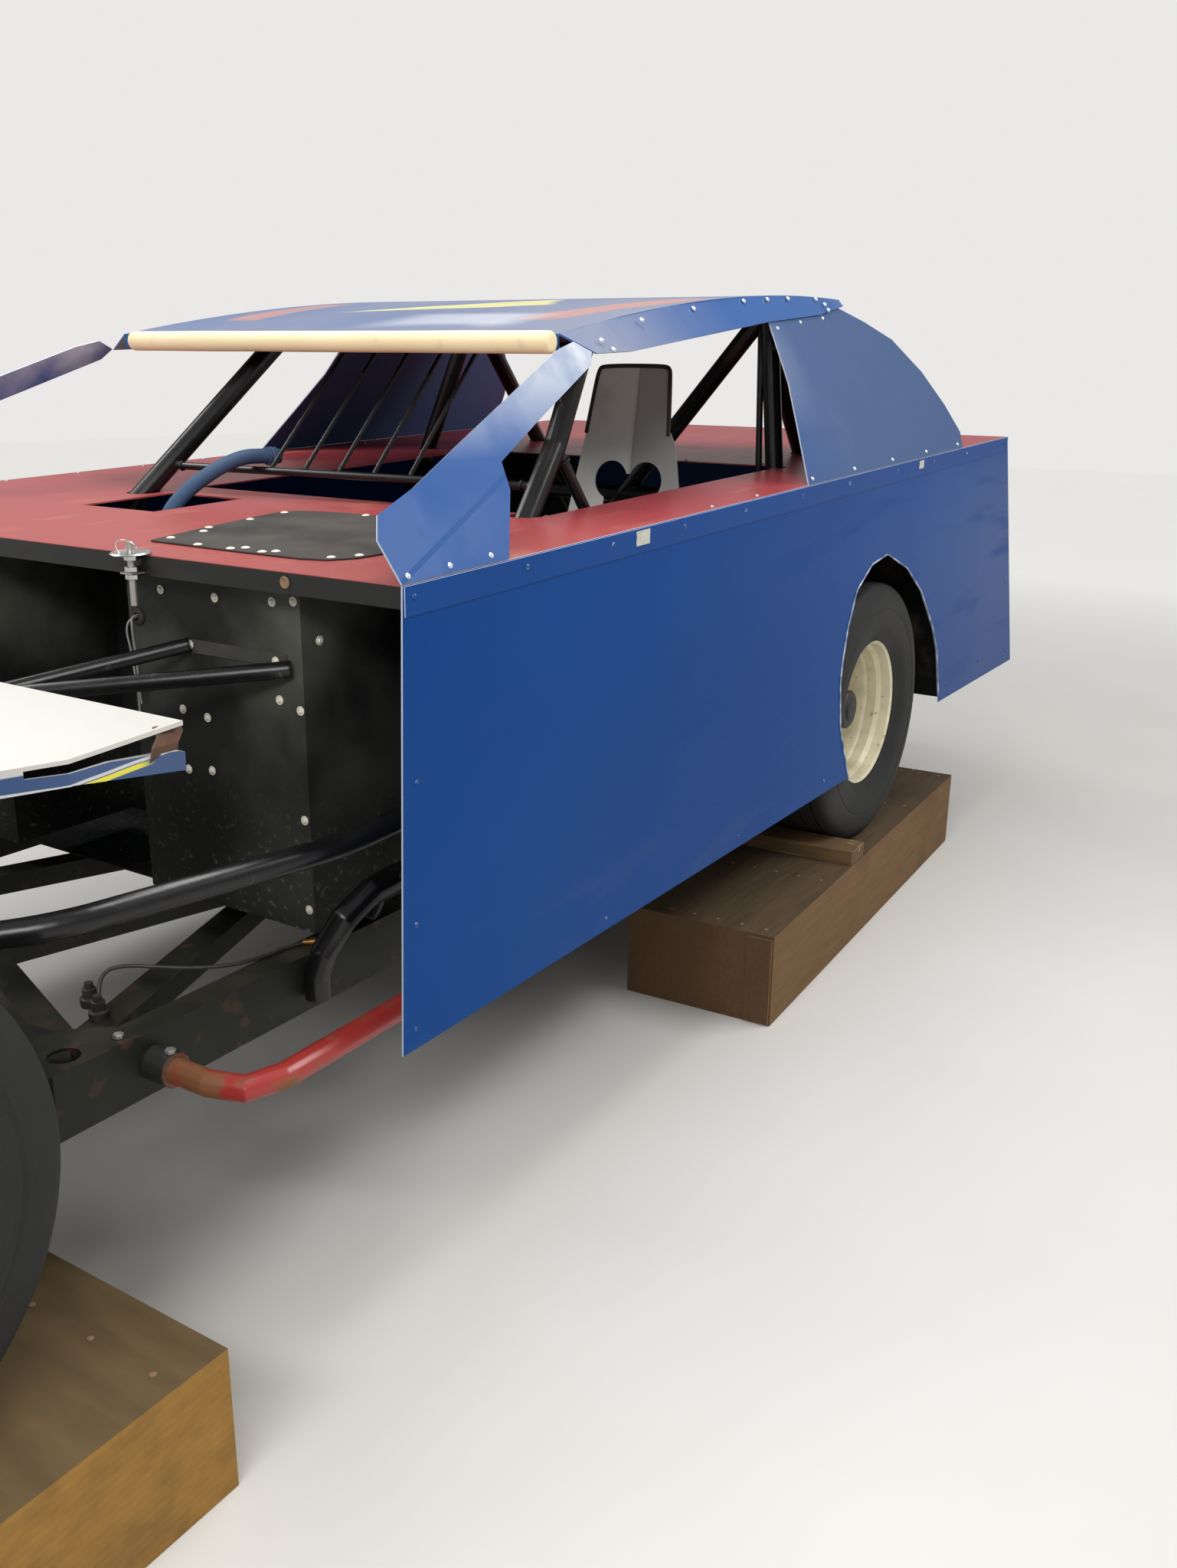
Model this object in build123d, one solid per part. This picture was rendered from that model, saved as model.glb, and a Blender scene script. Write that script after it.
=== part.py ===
# Dirt track modified stock car standing with its four wheels on wooden boxes.
# Units are millimetres, Z is up, the nose points to -Y and the driver's left is +X.
from build123d import *
import math
import os

os.makedirs("parts", exist_ok=True)

# Clearances
REST = 0.3          # gap left where one body rests on another
PIN_GAP = 0.5       # radial gap of a pin in its eye

# Flat sides given to round pieces that repeat
BAR_SIDES = 12
WHEEL_SIDES = 24

# Wheels and axles
TYRE_R = 345.0
TYRE_W = 254.0
TREAD_W = 226.0
SHOULDER_W = 14.0
SHOULDER_DROP = 10.0
WALL_R = 278.0
RIM_W = 212.0
RIM_SEAT_R = 190.0
RIM_FLANGE_R = 208.0
RIM_DISH_R = 184.0
RIM_INNER_R = 171.0
FLANGE_T = 6.0
DISC_T = 6.0
DISC_X = -34.0
DISH_STEP_X = 26.0
HUB_R = 46.0
HUB_IN = -66.0
HUB_OUT = 8.0
WINDOWS = 8
WINDOW_R = 142.0
WINDOW_W = 52.0
WINDOW_H = 34.0
SPINDLE_R = 16.0
FRONT_AXLE_Y = -1665.0
REAR_AXLE_Y = 1180.0
FRONT_WHEEL_X = 663.0
REAR_WHEEL_X = 700.0

# Wooden stands, one under each wheel
CRIB_H = 220.0
CRIB_GROOVE = 3.0
FRONT_CRIB = (446.0, 930.0)
REAR_CRIB = (368.0, 1490.0)
REAR_CRIB_X = 691.0
REAR_CRIB_Y = 1137.0
REAR_CRIB_TURN = 3.0
AXLE_Z = CRIB_H + REST + TYRE_R

# Body shell
HALF_BODY = 838.0
SHEET = 3.0
DOOR_Y = -755.0
DOOR_FOOT_Y = -783.0
PANEL_BOTTOM = 437.0
DECK_FRONT_Z = 1147.0
DECK_SLOPE = 0.0358
TAIL_TOP_Y = 2125.0
TAIL_FOOT_Y = 2430.0
TAIL_FOOT_Z = 500.0
DECK_FLANGE = 33.0
DECK_CLEAR = 6.0    # round a cage bar where it passes the deck
SKIN_X = HALF_BODY - SHEET
TAIL_LOW_Z = 652.0
TAIL_DROP_Y = 243.0
SPLASH_X = 500.0
SPLASH_Y = 1740.0

# Cockpit opening in the deck
OPEN_FRONT_Y = -60.0
OPEN_REAR_Y = 975.0
OPEN_LEFT_X = 612.0
OPEN_RIGHT_X = -330.0

# Foot boxes
FIREWALL_Y = -695.0
FOOTBOX_X = (190.0, 583.0)
FOOTBOX_BOTTOM = 545.0
RECESS_Y = -420.0

# Hose hole in the deck
HOLE_X = -188.0
HOLE_Y = -283.0
HOLE_W = 210.0
HOLE_L = 230.0
HOSE_R = 19.0

# Roof
ROOF_HALF = 598.0
ROOF_FRONT = (-9.0, 1496.0)
ROOF_MID = (600.0, 1583.0)
ROOF_REAR = (1300.0, 1613.0)
LEAN = 0.61        # inward lean of sail and post panels, mm per mm of height
PAD_R = 22.0
PAD_RIGHT_X = -540.0

# Frame and cage
RAIL_W = 51.0
RAIL_H = 100.0
RAIL_TOP = 500.0
RAIL_X = 532.5
CLIP_X = 354.5
KICK_Z = 620.0
REAR_RAIL_X = 440.0
REAR_KICK_Z = 800.0
REAR_RAIL_TOP = 640.0
RAIL_FRONT_Y = -2350.0
RAIL_REAR_Y = 2330.0
TUBE_R = 22.2
DASH_R = 8.0
STRUT_R = 12.0
BAR_R = 4.5
RUB_BAR_R = 20.0
RUB_BAR_X = 746.0
HOOP_Y = 945.0
FLOOR_TOP = RAIL_TOP + REST + SHEET

# Steering
KING_X = 532.0
KING_R = 10.0
KING_BOSS_R = 22.0
ARM_LEN = 140.0
ARM_Z = 485.0
ARM_T = 16.0
LINK_R = 11.0
LINK_DROP = 30.0
LINK_PIN_R = 7.0
EYE_R = 17.0
SHOCK_SEAT_Z = 458.0

# Bumpers, ahead of and behind the ends of the rails
FRONT_REACH = 117.8
REAR_REACH = 137.8
BUMPER_BEND = 70.0

# Hood pins, which stand on tabs of the deck flange
PIN_X = 297.0
PIN_AHEAD = 13.0
PIN_R = 6.35
PIN_TOP = 1167.0
PIN_FOOT = 1067.0
TAB_Z = 1120.0

RADIATOR_Y = -2120.0


def deck_z(y):
    """Top of the deck at a given place along the car."""
    return DECK_FRONT_Z + (y - DOOR_Y) * DECK_SLOPE


def roof_z(y):
    """Top of the roof at a given place along the car, on the arc through its three points."""
    (ya, za), (yb, zb), (yc, zc) = ROOF_FRONT, ROOF_MID, ROOF_REAR
    d = 2 * (ya * (zb - zc) + yb * (zc - za) + yc * (za - zb))
    sa, sb, sc = ya * ya + za * za, yb * yb + zb * zb, yc * yc + zc * zc
    centre_y = (sa * (zb - zc) + sb * (zc - za) + sc * (za - zb)) / d
    centre_z = (sa * (yc - yb) + sb * (ya - yc) + sc * (yb - ya)) / d
    radius = math.hypot(ya - centre_y, za - centre_z)
    return centre_z + math.sqrt(radius * radius - (y - centre_y) ** 2)


def mirrored(shape):
    """Copy on the other side of the car."""
    return mirror(shape, about=Plane.YZ)


def both_sides(shape):
    return [shape, mirrored(shape)]


def eased(points, bend):
    """Points of a bar's path with two short mitred runs in place of each bend."""
    path = [Vector(*points[0])]
    for before, corner, after in zip(points, points[1:], points[2:]):
        corner = Vector(*corner)
        back = Vector(*before) - corner
        on = Vector(*after) - corner
        turn = math.pi - math.radians(back.get_angle(on))
        reach = min(bend * math.tan(turn / 2), 0.45 * back.length, 0.45 * on.length)
        start = corner + back.normalized() * reach
        end = corner + on.normalized() * reach
        path += [start, (start + end) * 0.25 + corner * 0.5, end]
    return path + [Vector(*points[-1])]


def tube(points, radius, bend=None):
    """Bar along straight runs that meet in mitres, with eased bends where a radius is given."""
    if bend is not None:
        points = eased(points, bend)
    path = Line(points[0], points[1]) if len(points) == 2 else Polyline(*points)
    start = Plane(origin=path @ 0, z_dir=path % 0)
    return sweep(start * RegularPolygon(radius, BAR_SIDES), path=path, transition=Transition.RIGHT)


def box(x0, x1, y0, y1, z0, z1):
    """Block between two corners."""
    size = (x1 - x0, y1 - y0, z1 - z0)
    mid = ((x0 + x1) / 2, (y0 + y1) / 2, (z0 + z1) / 2)
    return Pos(*mid) * Box(*size)


def side_plate(points, x0, x1):
    """Flat plate with a (y, z) outline, from x0 to x1."""
    face = make_face(Polyline(*[(x0, y, z) for y, z in points], close=True))
    return extrude(face, amount=x1 - x0, dir=(1, 0, 0))


def plan_plate(points, z0, z1):
    """Plate with an (x, y) outline, from z0 to z1."""
    face = make_face(Polyline(*[(x, y, z0) for x, y in points], close=True))
    return extrude(face, amount=z1 - z0, dir=(0, 0, 1))


def lying_cylinder(radius, x0, x1, y, z):
    """Cylinder along the car's width."""
    middle = Pos((x0 + x1) / 2, y, z) * Rot(0, 90, 0)
    return middle * Cylinder(radius, abs(x1 - x0))


def upright_cylinder(radius, x, y, z0, z1):
    return Pos(x, y, (z0 + z1) / 2) * Cylinder(radius, z1 - z0)


def upright_bar(radius, x, y, z0, z1):
    return tube([(x, y, z0), (x, y, z1)], radius)


def lying_bar(radius, x0, x1, y, z):
    return tube([(x0, y, z), (x1, y, z)], radius)


def save(node, *shapes):
    """Write one node, which may hold several solids."""
    solids = []
    for shape in shapes:
        solids.extend(shape.solids())
    whole = solids[0] if len(solids) == 1 else Compound(children=solids)
    whole.label = node
    export_step(whole, "parts/" + node + ".step")


# Wheels

def wheel_ring(profile):
    """Flat-sided ring about the wheel axis from its closed (x, radius) profile, a corner at the bottom."""
    rows = []
    for i in range(WHEEL_SIDES):
        turn = 2 * math.pi / WHEEL_SIDES * i
        rows.append([(x, r * math.sin(turn), -r * math.cos(turn)) for x, r in profile])
    faces = []
    for row, following in zip(rows, rows[1:] + rows[:1]):
        for near in range(len(profile)):
            far = (near + 1) % len(profile)
            faces.append(make_face(Polyline(row[near], row[far], following[far], following[near], close=True)))
    return Solid(Shell(faces))


def rim():
    """Steel rim with a deep outer dish, its outer side to +X and its centre at the origin."""
    half = RIM_W / 2
    seat = half - FLANGE_T
    disc_out = DISC_X + DISC_T
    whole = wheel_ring([
        (-half, RIM_FLANGE_R), (-seat, RIM_SEAT_R), (seat, RIM_SEAT_R), (half, RIM_FLANGE_R), (half, RIM_DISH_R),
        (DISH_STEP_X, RIM_DISH_R), (DISH_STEP_X, RIM_INNER_R), (disc_out, RIM_INNER_R), (disc_out, HUB_R - 10),
        (DISC_X, HUB_R - 10), (DISC_X, RIM_INNER_R), (-half, RIM_INNER_R)])
    whole += lying_bar(HUB_R, HUB_IN, HUB_OUT, 0, 0)
    whole -= lying_cylinder(SPINDLE_R + PIN_GAP, HUB_IN - 1, HUB_OUT + 1, 0, 0)
    window = box(DISC_X - 1, disc_out + 1, -WINDOW_W / 2, WINDOW_W / 2,
                 WINDOW_R - WINDOW_H / 2, WINDOW_R + WINDOW_H / 2)
    for i in range(WINDOWS):
        whole -= Rot(360.0 / WINDOWS * i, 0, 0) * window
    return whole


def tyre():
    """Tyre as one solid ring seated between the rim flanges, with sloping shoulders."""
    seat = RIM_W / 2 - FLANGE_T
    half = TYRE_W / 2
    tread = TREAD_W / 2
    flare = (RIM_FLANGE_R - RIM_SEAT_R) / FLANGE_T
    side = [(seat, RIM_SEAT_R), (half, RIM_SEAT_R + flare * (half - seat)), (half, WALL_R),
            (tread, TYRE_R - SHOULDER_DROP), (tread - SHOULDER_W, TYRE_R)]
    return wheel_ring([(-x, r) for x, r in side] + side[::-1])


WHEELS = [
    # name, x of the wheel centre, y of the axle
    ("front_left", FRONT_WHEEL_X, FRONT_AXLE_Y),
    ("front_right", -FRONT_WHEEL_X, FRONT_AXLE_Y),
    ("rear_left", REAR_WHEEL_X, REAR_AXLE_Y),
    ("rear_right", -REAR_WHEEL_X, REAR_AXLE_Y),
]


def build_wheels():
    one_rim = rim()
    one_tyre = tyre()
    for name, x, y in WHEELS:
        place = Pos(x, y, AXLE_Z)
        facing = Rot(0, 0, 0) if x > 0 else Rot(0, 0, 180)
        save("rim_" + name, place * facing * one_rim)
        save("tyre_" + name, place * facing * one_tyre)


# Wooden stands

def crib(width, length, boards):
    """Closed plank box with grooves between its top boards, centred in plan and standing on the floor."""
    whole = Pos(0, 0, CRIB_H / 2) * Box(width, length, CRIB_H)
    for i in range(1, boards):
        x = -width / 2 + width / boards * i
        whole -= Pos(x, 0, CRIB_H) * Box(CRIB_GROOVE, length, 2 * CRIB_GROOVE)
    return whole


def build_cribs():
    front = Pos(FRONT_WHEEL_X, FRONT_AXLE_Y, 0) * crib(FRONT_CRIB[0], FRONT_CRIB[1], 1)
    rear = Pos(REAR_CRIB_X, REAR_CRIB_Y, 0) * Rot(0, 0, REAR_CRIB_TURN) * crib(REAR_CRIB[0], REAR_CRIB[1], 3)
    save("crib_front_left", front)
    save("crib_front_right", mirrored(front))
    save("crib_rear_left", rear)
    save("crib_rear_right", mirrored(rear))


# Frame

RAIL_PLAN = [
    # y, x of the rail centre, z of the rail top
    (RAIL_FRONT_Y, CLIP_X - 20, RAIL_TOP),
    (FRONT_AXLE_Y - 355, CLIP_X, RAIL_TOP),
    (FRONT_AXLE_Y - 215, CLIP_X, KICK_Z),
    (FRONT_AXLE_Y + 215, CLIP_X, KICK_Z),
    (FRONT_AXLE_Y + 305, CLIP_X, RAIL_TOP + 20),
    (FRONT_AXLE_Y + 480, RAIL_X, RAIL_TOP),
    (REAR_AXLE_Y - 560, RAIL_X, RAIL_TOP),
    (REAR_AXLE_Y - 280, REAR_RAIL_X, REAR_KICK_Z),
    (REAR_AXLE_Y + 300, REAR_RAIL_X, REAR_KICK_Z),
    (REAR_AXLE_Y + 620, REAR_RAIL_X, REAR_RAIL_TOP),
    (RAIL_REAR_Y, REAR_RAIL_X, REAR_RAIL_TOP),
]


def rail():
    """Box rail as a chain of straight runs between upright sections."""
    whole = None
    for near, far in zip(RAIL_PLAN, RAIL_PLAN[1:]):
        ends = []
        for y, x, z in (near, far):
            ends.append(Pos(x, y, z - RAIL_H / 2) * Rot(90, 0, 0) * Rectangle(RAIL_W, RAIL_H))
        run = loft(ends)
        whole = run if whole is None else whole + run
    return whole


def cross_member(y, half, z0, z1, depth=60.0):
    return box(-half, half, y - depth / 2, y + depth / 2, z0, z1)


def strip(start, end, width, z0, z1):
    """Flat bar between two (x, y) places."""
    (xa, ya), (xb, yb) = start, end
    half = width / 2 / math.hypot(xb - xa, yb - ya)
    across = ((yb - ya) * half, (xa - xb) * half)
    corners = [(xa - across[0], ya - across[1]), (xa + across[0], ya + across[1]),
               (xb + across[0], yb + across[1]), (xb - across[0], yb - across[1])]
    return plan_plate(corners, z0, z1)


GUSSET_HOLES = [(520.0, -1138.0), (434.0, -1170.0)]


def gusset():
    """Plate over the bend of the left rail, where the braces start."""
    outer, inner = RAIL_X + RAIL_W / 2, RAIL_X - RAIL_W / 2
    outline = [(inner, -1041.0), (outer, -1041.0), (outer, FRONT_AXLE_Y + 480), (450.0, -1285.0),
               (350.0, -1230.0), (345.0, -1111.0), (439.0, -1099.0)]
    return plan_plate(outline, RAIL_TOP - 2, RAIL_TOP + 3)


def build_frame():
    rails = both_sides(rail())
    inner = CLIP_X - RAIL_W / 2
    deep = RAIL_X - RAIL_W / 2
    members = [
        cross_member(FRONT_AXLE_Y, inner, 400.0, 450.0, 150.0),
        cross_member(RADIATOR_Y, inner, 400.0, 450.0, 50.0),
        cross_member(-330.0, deep, 400.0, 450.0, 50.0),
        cross_member(560.0, deep, 400.0, 450.0, 60.0),
        cross_member(1880.0, REAR_RAIL_X - RAIL_W / 2, 560.0, 620.0, 50.0),
        cross_member(2120.0, REAR_RAIL_X - RAIL_W / 2, 560.0, 620.0, 50.0),
    ]
    hangers = []
    for side in (-1, 1):
        x0, x1 = sorted((side * (inner - 40.0), side * inner))
        hangers.append(box(x0, x1, FRONT_AXLE_Y - 40, FRONT_AXLE_Y + 40, 440.0, KICK_Z - 40))
    brace = strip((480.0, FRONT_AXLE_Y + 490), (160.0, -330.0), 54.0, 420.0, 460.0)
    to_middle = strip((470.0, FRONT_AXLE_Y + 582), (0.0, -915.0), 50.0, 420.0, 460.0)
    centre = strip((0.0, -915.0), (150.0, -330.0), 54.0, 420.0, 460.0)
    braces = both_sides(brace) + both_sides(to_middle) + [centre]
    whole = rails[0] + rails[1]
    for piece in members + hangers + braces + both_sides(gusset()):
        whole += piece
    for x, y in GUSSET_HOLES:
        for hole in both_sides(upright_bar(24.0, x, y, RAIL_TOP - 30, RAIL_TOP + 20)):
            whole -= hole
    save("frame", whole)


# Roll cage and bars

HALO_Y = 128.0
HALO_Z = roof_z(HALO_Y) - SHEET - REST - TUBE_R - 0.3
HOOP_Z = roof_z(HOOP_Y) - SHEET - REST - TUBE_R - 0.1
A_LEFT = [(RAIL_X, -520.0, RAIL_TOP), (577.0, -94.0, 1155.0), (567.0, 25.0, 1294.0),
          (568.0, HALO_Y, HALO_Z)]
A_RIGHT = [(-RAIL_X, -520.0, RAIL_TOP), (-365.0, -203.0, 1150.0), (-235.0, HALO_Y, HALO_Z)]
HOOP = [(RAIL_X, HOOP_Y - 380, RAIL_TOP), (606.0, HOOP_Y, 1180.0), (568.0, HOOP_Y, HOOP_Z),
        (-318.0, HOOP_Y, HOOP_Z), (-500.0, HOOP_Y, 1180.0), (-RAIL_X, HOOP_Y - 380, RAIL_TOP)]
BRACE_LEFT = [(545.0, HOOP_Y, HOOP_Z - 12), (REAR_RAIL_X, 1950.0, 640.0)]
BRACE_RIGHT = [(-312.0, HOOP_Y, HOOP_Z - 12), (-REAR_RAIL_X, 1950.0, 640.0)]
HOOP_DIAGONAL = [(562.0, HOOP_Y, HOOP_Z - 8), (-78.0, HOOP_Y, 830.0)]
NET_BAR = [(563.0, HOOP_Y, 1120.0), (548.0, HOOP_Y, HOOP_Z)]
DASH_LEFT = (575.5, -50.0, 1222.0)
DASH_RIGHT = (-334.0, -128.0, 1222.0)
SCREEN_BAR_X = (-62.0, 25.0, 112.0, 199.0, 286.0)
DOOR_BAR_X = 640.0


def between(start, end, share):
    return tuple(a + (b - a) * share for a, b in zip(start, end))


def build_cage():
    hoop_top_left = (560.0, HOOP_Y, HOOP_Z)
    hoop_top_right = (-312.0, HOOP_Y, HOOP_Z)
    bars = [
        tube(A_LEFT, TUBE_R),
        tube(A_RIGHT, TUBE_R),
        tube(HOOP, TUBE_R),
        tube([A_LEFT[-1], hoop_top_left], TUBE_R),
        tube([A_RIGHT[-1], hoop_top_right], TUBE_R),
        tube([A_LEFT[-1], A_RIGHT[-1]], TUBE_R),
        tube(HOOP_DIAGONAL, TUBE_R),
        tube([(558.0, HOOP_Y - 240, 800.0), (-520.0, HOOP_Y - 240, 800.0)], TUBE_R),
        tube([(600.0, HOOP_Y, 1120.0), (-492.0, HOOP_Y, 1120.0)], TUBE_R),
        tube(NET_BAR, DASH_R),
        tube(BRACE_LEFT, TUBE_R),
        tube(BRACE_RIGHT, TUBE_R),
        tube([DASH_LEFT, DASH_RIGHT], DASH_R),
    ]
    for z, share in ((700.0, 0.305), (900.0, 0.61)):
        front = between(A_LEFT[0], A_LEFT[1], share)
        rear = between(HOOP[0], HOOP[1], share)
        bars.append(tube([front, (DOOR_BAR_X, 100.0, z), (DOOR_BAR_X, 520.0, z), rear], TUBE_R))
    door_post = [A_LEFT[2], (DOOR_BAR_X - 4, 255.0, 905.0)]
    bars.append(tube(door_post, STRUT_R))
    beside = RAIL_X + RAIL_W / 2 + TUBE_R
    foot_bar = [(beside, -694.0, RAIL_TOP - 70), (beside, -694.0, RAIL_TOP - 30),
                (beside + 24, -700.0, RAIL_TOP + 20), (beside + 46, -673.0, RAIL_TOP + 75),
                (DOOR_BAR_X, -619.0, RAIL_TOP + 110), (DOOR_BAR_X, -553.0, RAIL_TOP + 114),
                (DOOR_BAR_X, 400.0, RAIL_TOP + 114), (RAIL_X, 560.0, RAIL_TOP)]
    for x in SCREEN_BAR_X:
        share = (x - DASH_RIGHT[0]) / (DASH_LEFT[0] - DASH_RIGHT[0])
        foot = between(DASH_RIGHT, DASH_LEFT, share)
        bars.append(tube([foot, (x + 40.0, HALO_Y, HALO_Z)], BAR_R))
    whole = bars[0]
    for bar in bars[1:]:
        whole += bar
    below_rail_top = box(-800, 800, -2500, 2500, 300, RAIL_TOP)
    whole -= below_rail_top
    whole += tube(foot_bar, TUBE_R) - box(0, RAIL_X + RAIL_W / 2, -1000, 1000, 300, RAIL_TOP)
    rails = box(-REAR_RAIL_X - 60, REAR_RAIL_X + 60, 1700, 2400, 300, 640.0)
    whole -= rails
    save("roll_cage", whole)


def build_engine_bay_bars():
    foot_y = FRONT_AXLE_Y + 105
    path = [(560.0, -330.0, 780.0), (742.0, -610.0, 768.0), (706.0, -750.0, 741.0), (600.0, -1180.0, 733.0),
            (CLIP_X + 30, foot_y + 175, 705.0), (CLIP_X, foot_y, 690.0), (CLIP_X, foot_y, KICK_Z)]
    side = tube(path, TUBE_R, 60.0)
    side -= tube(A_LEFT, TUBE_R + REST)
    node = (130.0, -960.0, 930.0)
    straight = tube([(335.0, FIREWALL_Y + 20, 997.0), node], 16.0)
    slanted = tube([(560.0, FIREWALL_Y + 20, 985.0), node], 16.0)
    down = tube([node, (CLIP_X - 12, FRONT_AXLE_Y - 175, 590.0)], 16.0)
    behind = box(-900, 900, FIREWALL_Y - REST, FIREWALL_Y + 100, 900, 1100)
    below = box(-900, 900, -2200, -1400, 300, KICK_Z)
    left = side + (straight + slanted + down - behind - below)
    save("engine_bay_bars", *both_sides(left))


def bumper(x, y, end_y, z, hoop_x, hoop_z):
    """Cross bar with bent ends that meet the rails, and an upright hoop on it."""
    cross = tube([(x, y, z), (x, end_y, z), (-x, end_y, z), (-x, y, z)], TUBE_R, BUMPER_BEND)
    hoop = tube([(hoop_x, end_y, z), (hoop_x, end_y, hoop_z), (-hoop_x, end_y, hoop_z), (-hoop_x, end_y, z)],
                TUBE_R, BUMPER_BEND)
    return cross + hoop


def build_bumpers():
    front = bumper(CLIP_X - 20, RAIL_FRONT_Y - REST, RAIL_FRONT_Y - FRONT_REACH, 450.0, 270.0, 570.0)
    save("front_bumper", front)
    rear = bumper(REAR_RAIL_X, RAIL_REAR_Y + REST, RAIL_REAR_Y + REAR_REACH, 590.0, 330.0, 760.0)
    save("rear_bumper", rear)


def build_rub_bars():
    face = RAIL_X + RAIL_W / 2
    out = RUB_BAR_X
    bar = tube([(face + 22, -1016.0, 450.0), (out, -1016.0, 450.0), (out, 460.0, 456.0), (face, 590.0, 450.0)],
               RUB_BAR_R, 105.0)
    sleeve = lying_bar(RUB_BAR_R + 7, face, face + 48, -1016.0, 450.0)
    tail = box(0, face, 0, 1200, 300, 600)
    save("side_rub_bars", *both_sides(bar + sleeve - tail))


# Body sheets

ARCH = [(988.0, PANEL_BOTTOM), (904.0, 586.0), (883.0, 705.0), (888.0, 758.0), (908.0, 838.0),
        (950.0, 925.0), (1040.0, 978.0), (1145.0, 993.0), (1306.0, 938.0), (1434.0, 861.0),
        (1563.0, 739.0), (1617.0, 664.0), (1671.0, 519.0), (1676.0, TAIL_FOOT_Z)]


def build_side_panels():
    outline = [(DOOR_Y, deck_z(DOOR_Y)), (DOOR_FOOT_Y, PANEL_BOTTOM)] + ARCH
    outline += [(TAIL_FOOT_Y, TAIL_FOOT_Z), (TAIL_TOP_Y, deck_z(TAIL_TOP_Y))]
    left = side_plate(outline, SKIN_X, HALF_BODY)
    save("side_panel_left", left)
    save("side_panel_right", mirrored(left))


def deck_sheet(x0, x1, y0, y1):
    """Sloping sheet between two places along the car."""
    points = [(y0, deck_z(y0)), (y1, deck_z(y1)), (y1, deck_z(y1) - SHEET), (y0, deck_z(y0) - SHEET)]
    return side_plate(points, x0, x1)


FRONT_DECK_HOLES = [
    # x, y and radius of the hole a cage bar passes through
    (576.0, -82.0, TUBE_R + 2 * DECK_CLEAR),
    (-358.0, -190.0, TUBE_R + 2 * DECK_CLEAR + 2),
    (-488.0, HOOP_Y, TUBE_R + DECK_CLEAR),
    (605.0, HOOP_Y, TUBE_R + DECK_CLEAR),
]


def hood_pin(x):
    """Upright pin on a tab that stands out from the deck flange."""
    y = DOOR_Y - PIN_AHEAD
    tab = box(x - 14, x + 14, y - 12, DOOR_Y + SHEET / 2, TAB_Z - SHEET, TAB_Z)
    return tab + upright_cylinder(PIN_R, x, y, PIN_FOOT, PIN_TOP)


def build_decks():
    front = deck_sheet(-SKIN_X, SKIN_X, DOOR_Y, OPEN_REAR_Y)
    top = deck_z(DOOR_Y)
    flange = box(-SKIN_X, SKIN_X, DOOR_Y, DOOR_Y + SHEET, top - DECK_FLANGE, top - SHEET / 2)
    opening = box(OPEN_RIGHT_X, OPEN_LEFT_X, OPEN_FRONT_Y, OPEN_REAR_Y + 1, 1000, 1400)
    hole = box(HOLE_X - HOLE_W / 2, HOLE_X + HOLE_W / 2, HOLE_Y - HOLE_L / 2, HOLE_Y + HOLE_L / 2, 1000, 1400)
    whole = front + flange - opening - hole
    for x, y, radius in FRONT_DECK_HOLES:
        whole -= upright_bar(radius, x, y, 1000, 1400)
    for side in (-1, 1):
        whole += hood_pin(side * PIN_X)
    save("front_deck", whole)
    rear = deck_sheet(-SKIN_X, SKIN_X, OPEN_REAR_Y, TAIL_TOP_Y)
    for bar in (BRACE_LEFT, BRACE_RIGHT):
        rear -= tube(bar, TUBE_R + DECK_CLEAR)
    save("rear_deck", rear)


def build_firewall():
    """Black sheet foot boxes either side of a recess for the engine."""
    inner, outer = FOOTBOX_X
    low, high = FOOTBOX_BOTTOM, DECK_FRONT_Z + 100
    front = box(inner, outer, FIREWALL_Y, FIREWALL_Y + SHEET, low, high)
    outside = box(outer - SHEET, outer, FIREWALL_Y, RECESS_Y - 30, low, high)
    inside = box(inner, inner + SHEET, FIREWALL_Y, RECESS_Y, low, high)
    half = front + outside + inside
    recess = box(-inner - SHEET, inner + SHEET, RECESS_Y - SHEET, RECESS_Y, low, high)
    under_deck = [(-800.0, deck_z(-800) - SHEET - REST), (0.0, deck_z(0) - SHEET - REST),
                  (0.0, high + 50), (-800.0, high + 50)]
    whole = half + mirrored(half) + recess - side_plate(under_deck, -900, 900)
    save("firewall", whole)


def build_floor():
    half = RAIL_X - RAIL_W / 2 + 1.5
    save("floor_pan", box(-half, half, -600.0, 610.0, RAIL_TOP + REST, FLOOR_TOP))


SKIRT = [
    # y and z of the bottom edge of the roof's side
    (13.0, 1462.0),
    (139.0, 1468.0),
    (407.0, 1498.0),
    (809.0, 1543.0),
    (1113.0, 1569.0),
    (1296.0, 1597.0),
]
SKIRT_OUT = 8.0     # its outer face beyond the inner face of the panels that it laps


def lean_x(y, z):
    """Inner face of the leaning panels at a given height."""
    return SKIN_X - 1.0 - LEAN * (z - deck_z(y) - REST)


def roof_skirt():
    """Side of the roof, flaring out from its edge to the bottom line, its front edge swept back."""
    sections = []
    top_y = ROOF_FRONT[0] + 1
    for y, z in SKIRT:
        x = lean_x(y, z) + SKIRT_OUT
        share = (y - top_y) / (x - ROOF_HALF)
        top_z = roof_z(top_y)
        corners = [(ROOF_HALF, top_z), (x, z), (x - SHEET, z - 1), (ROOF_HALF - SHEET, top_z - SHEET)]
        points = [(px, top_y + share * (px - ROOF_HALF), pz) for px, pz in corners]
        sections.append(make_face(Polyline(*points, close=True)))
        step = SKIRT.index((y, z)) + 1
        top_y = SKIRT[min(step, len(SKIRT) - 1)][0]
    return loft(sections, ruled=True)


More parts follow.
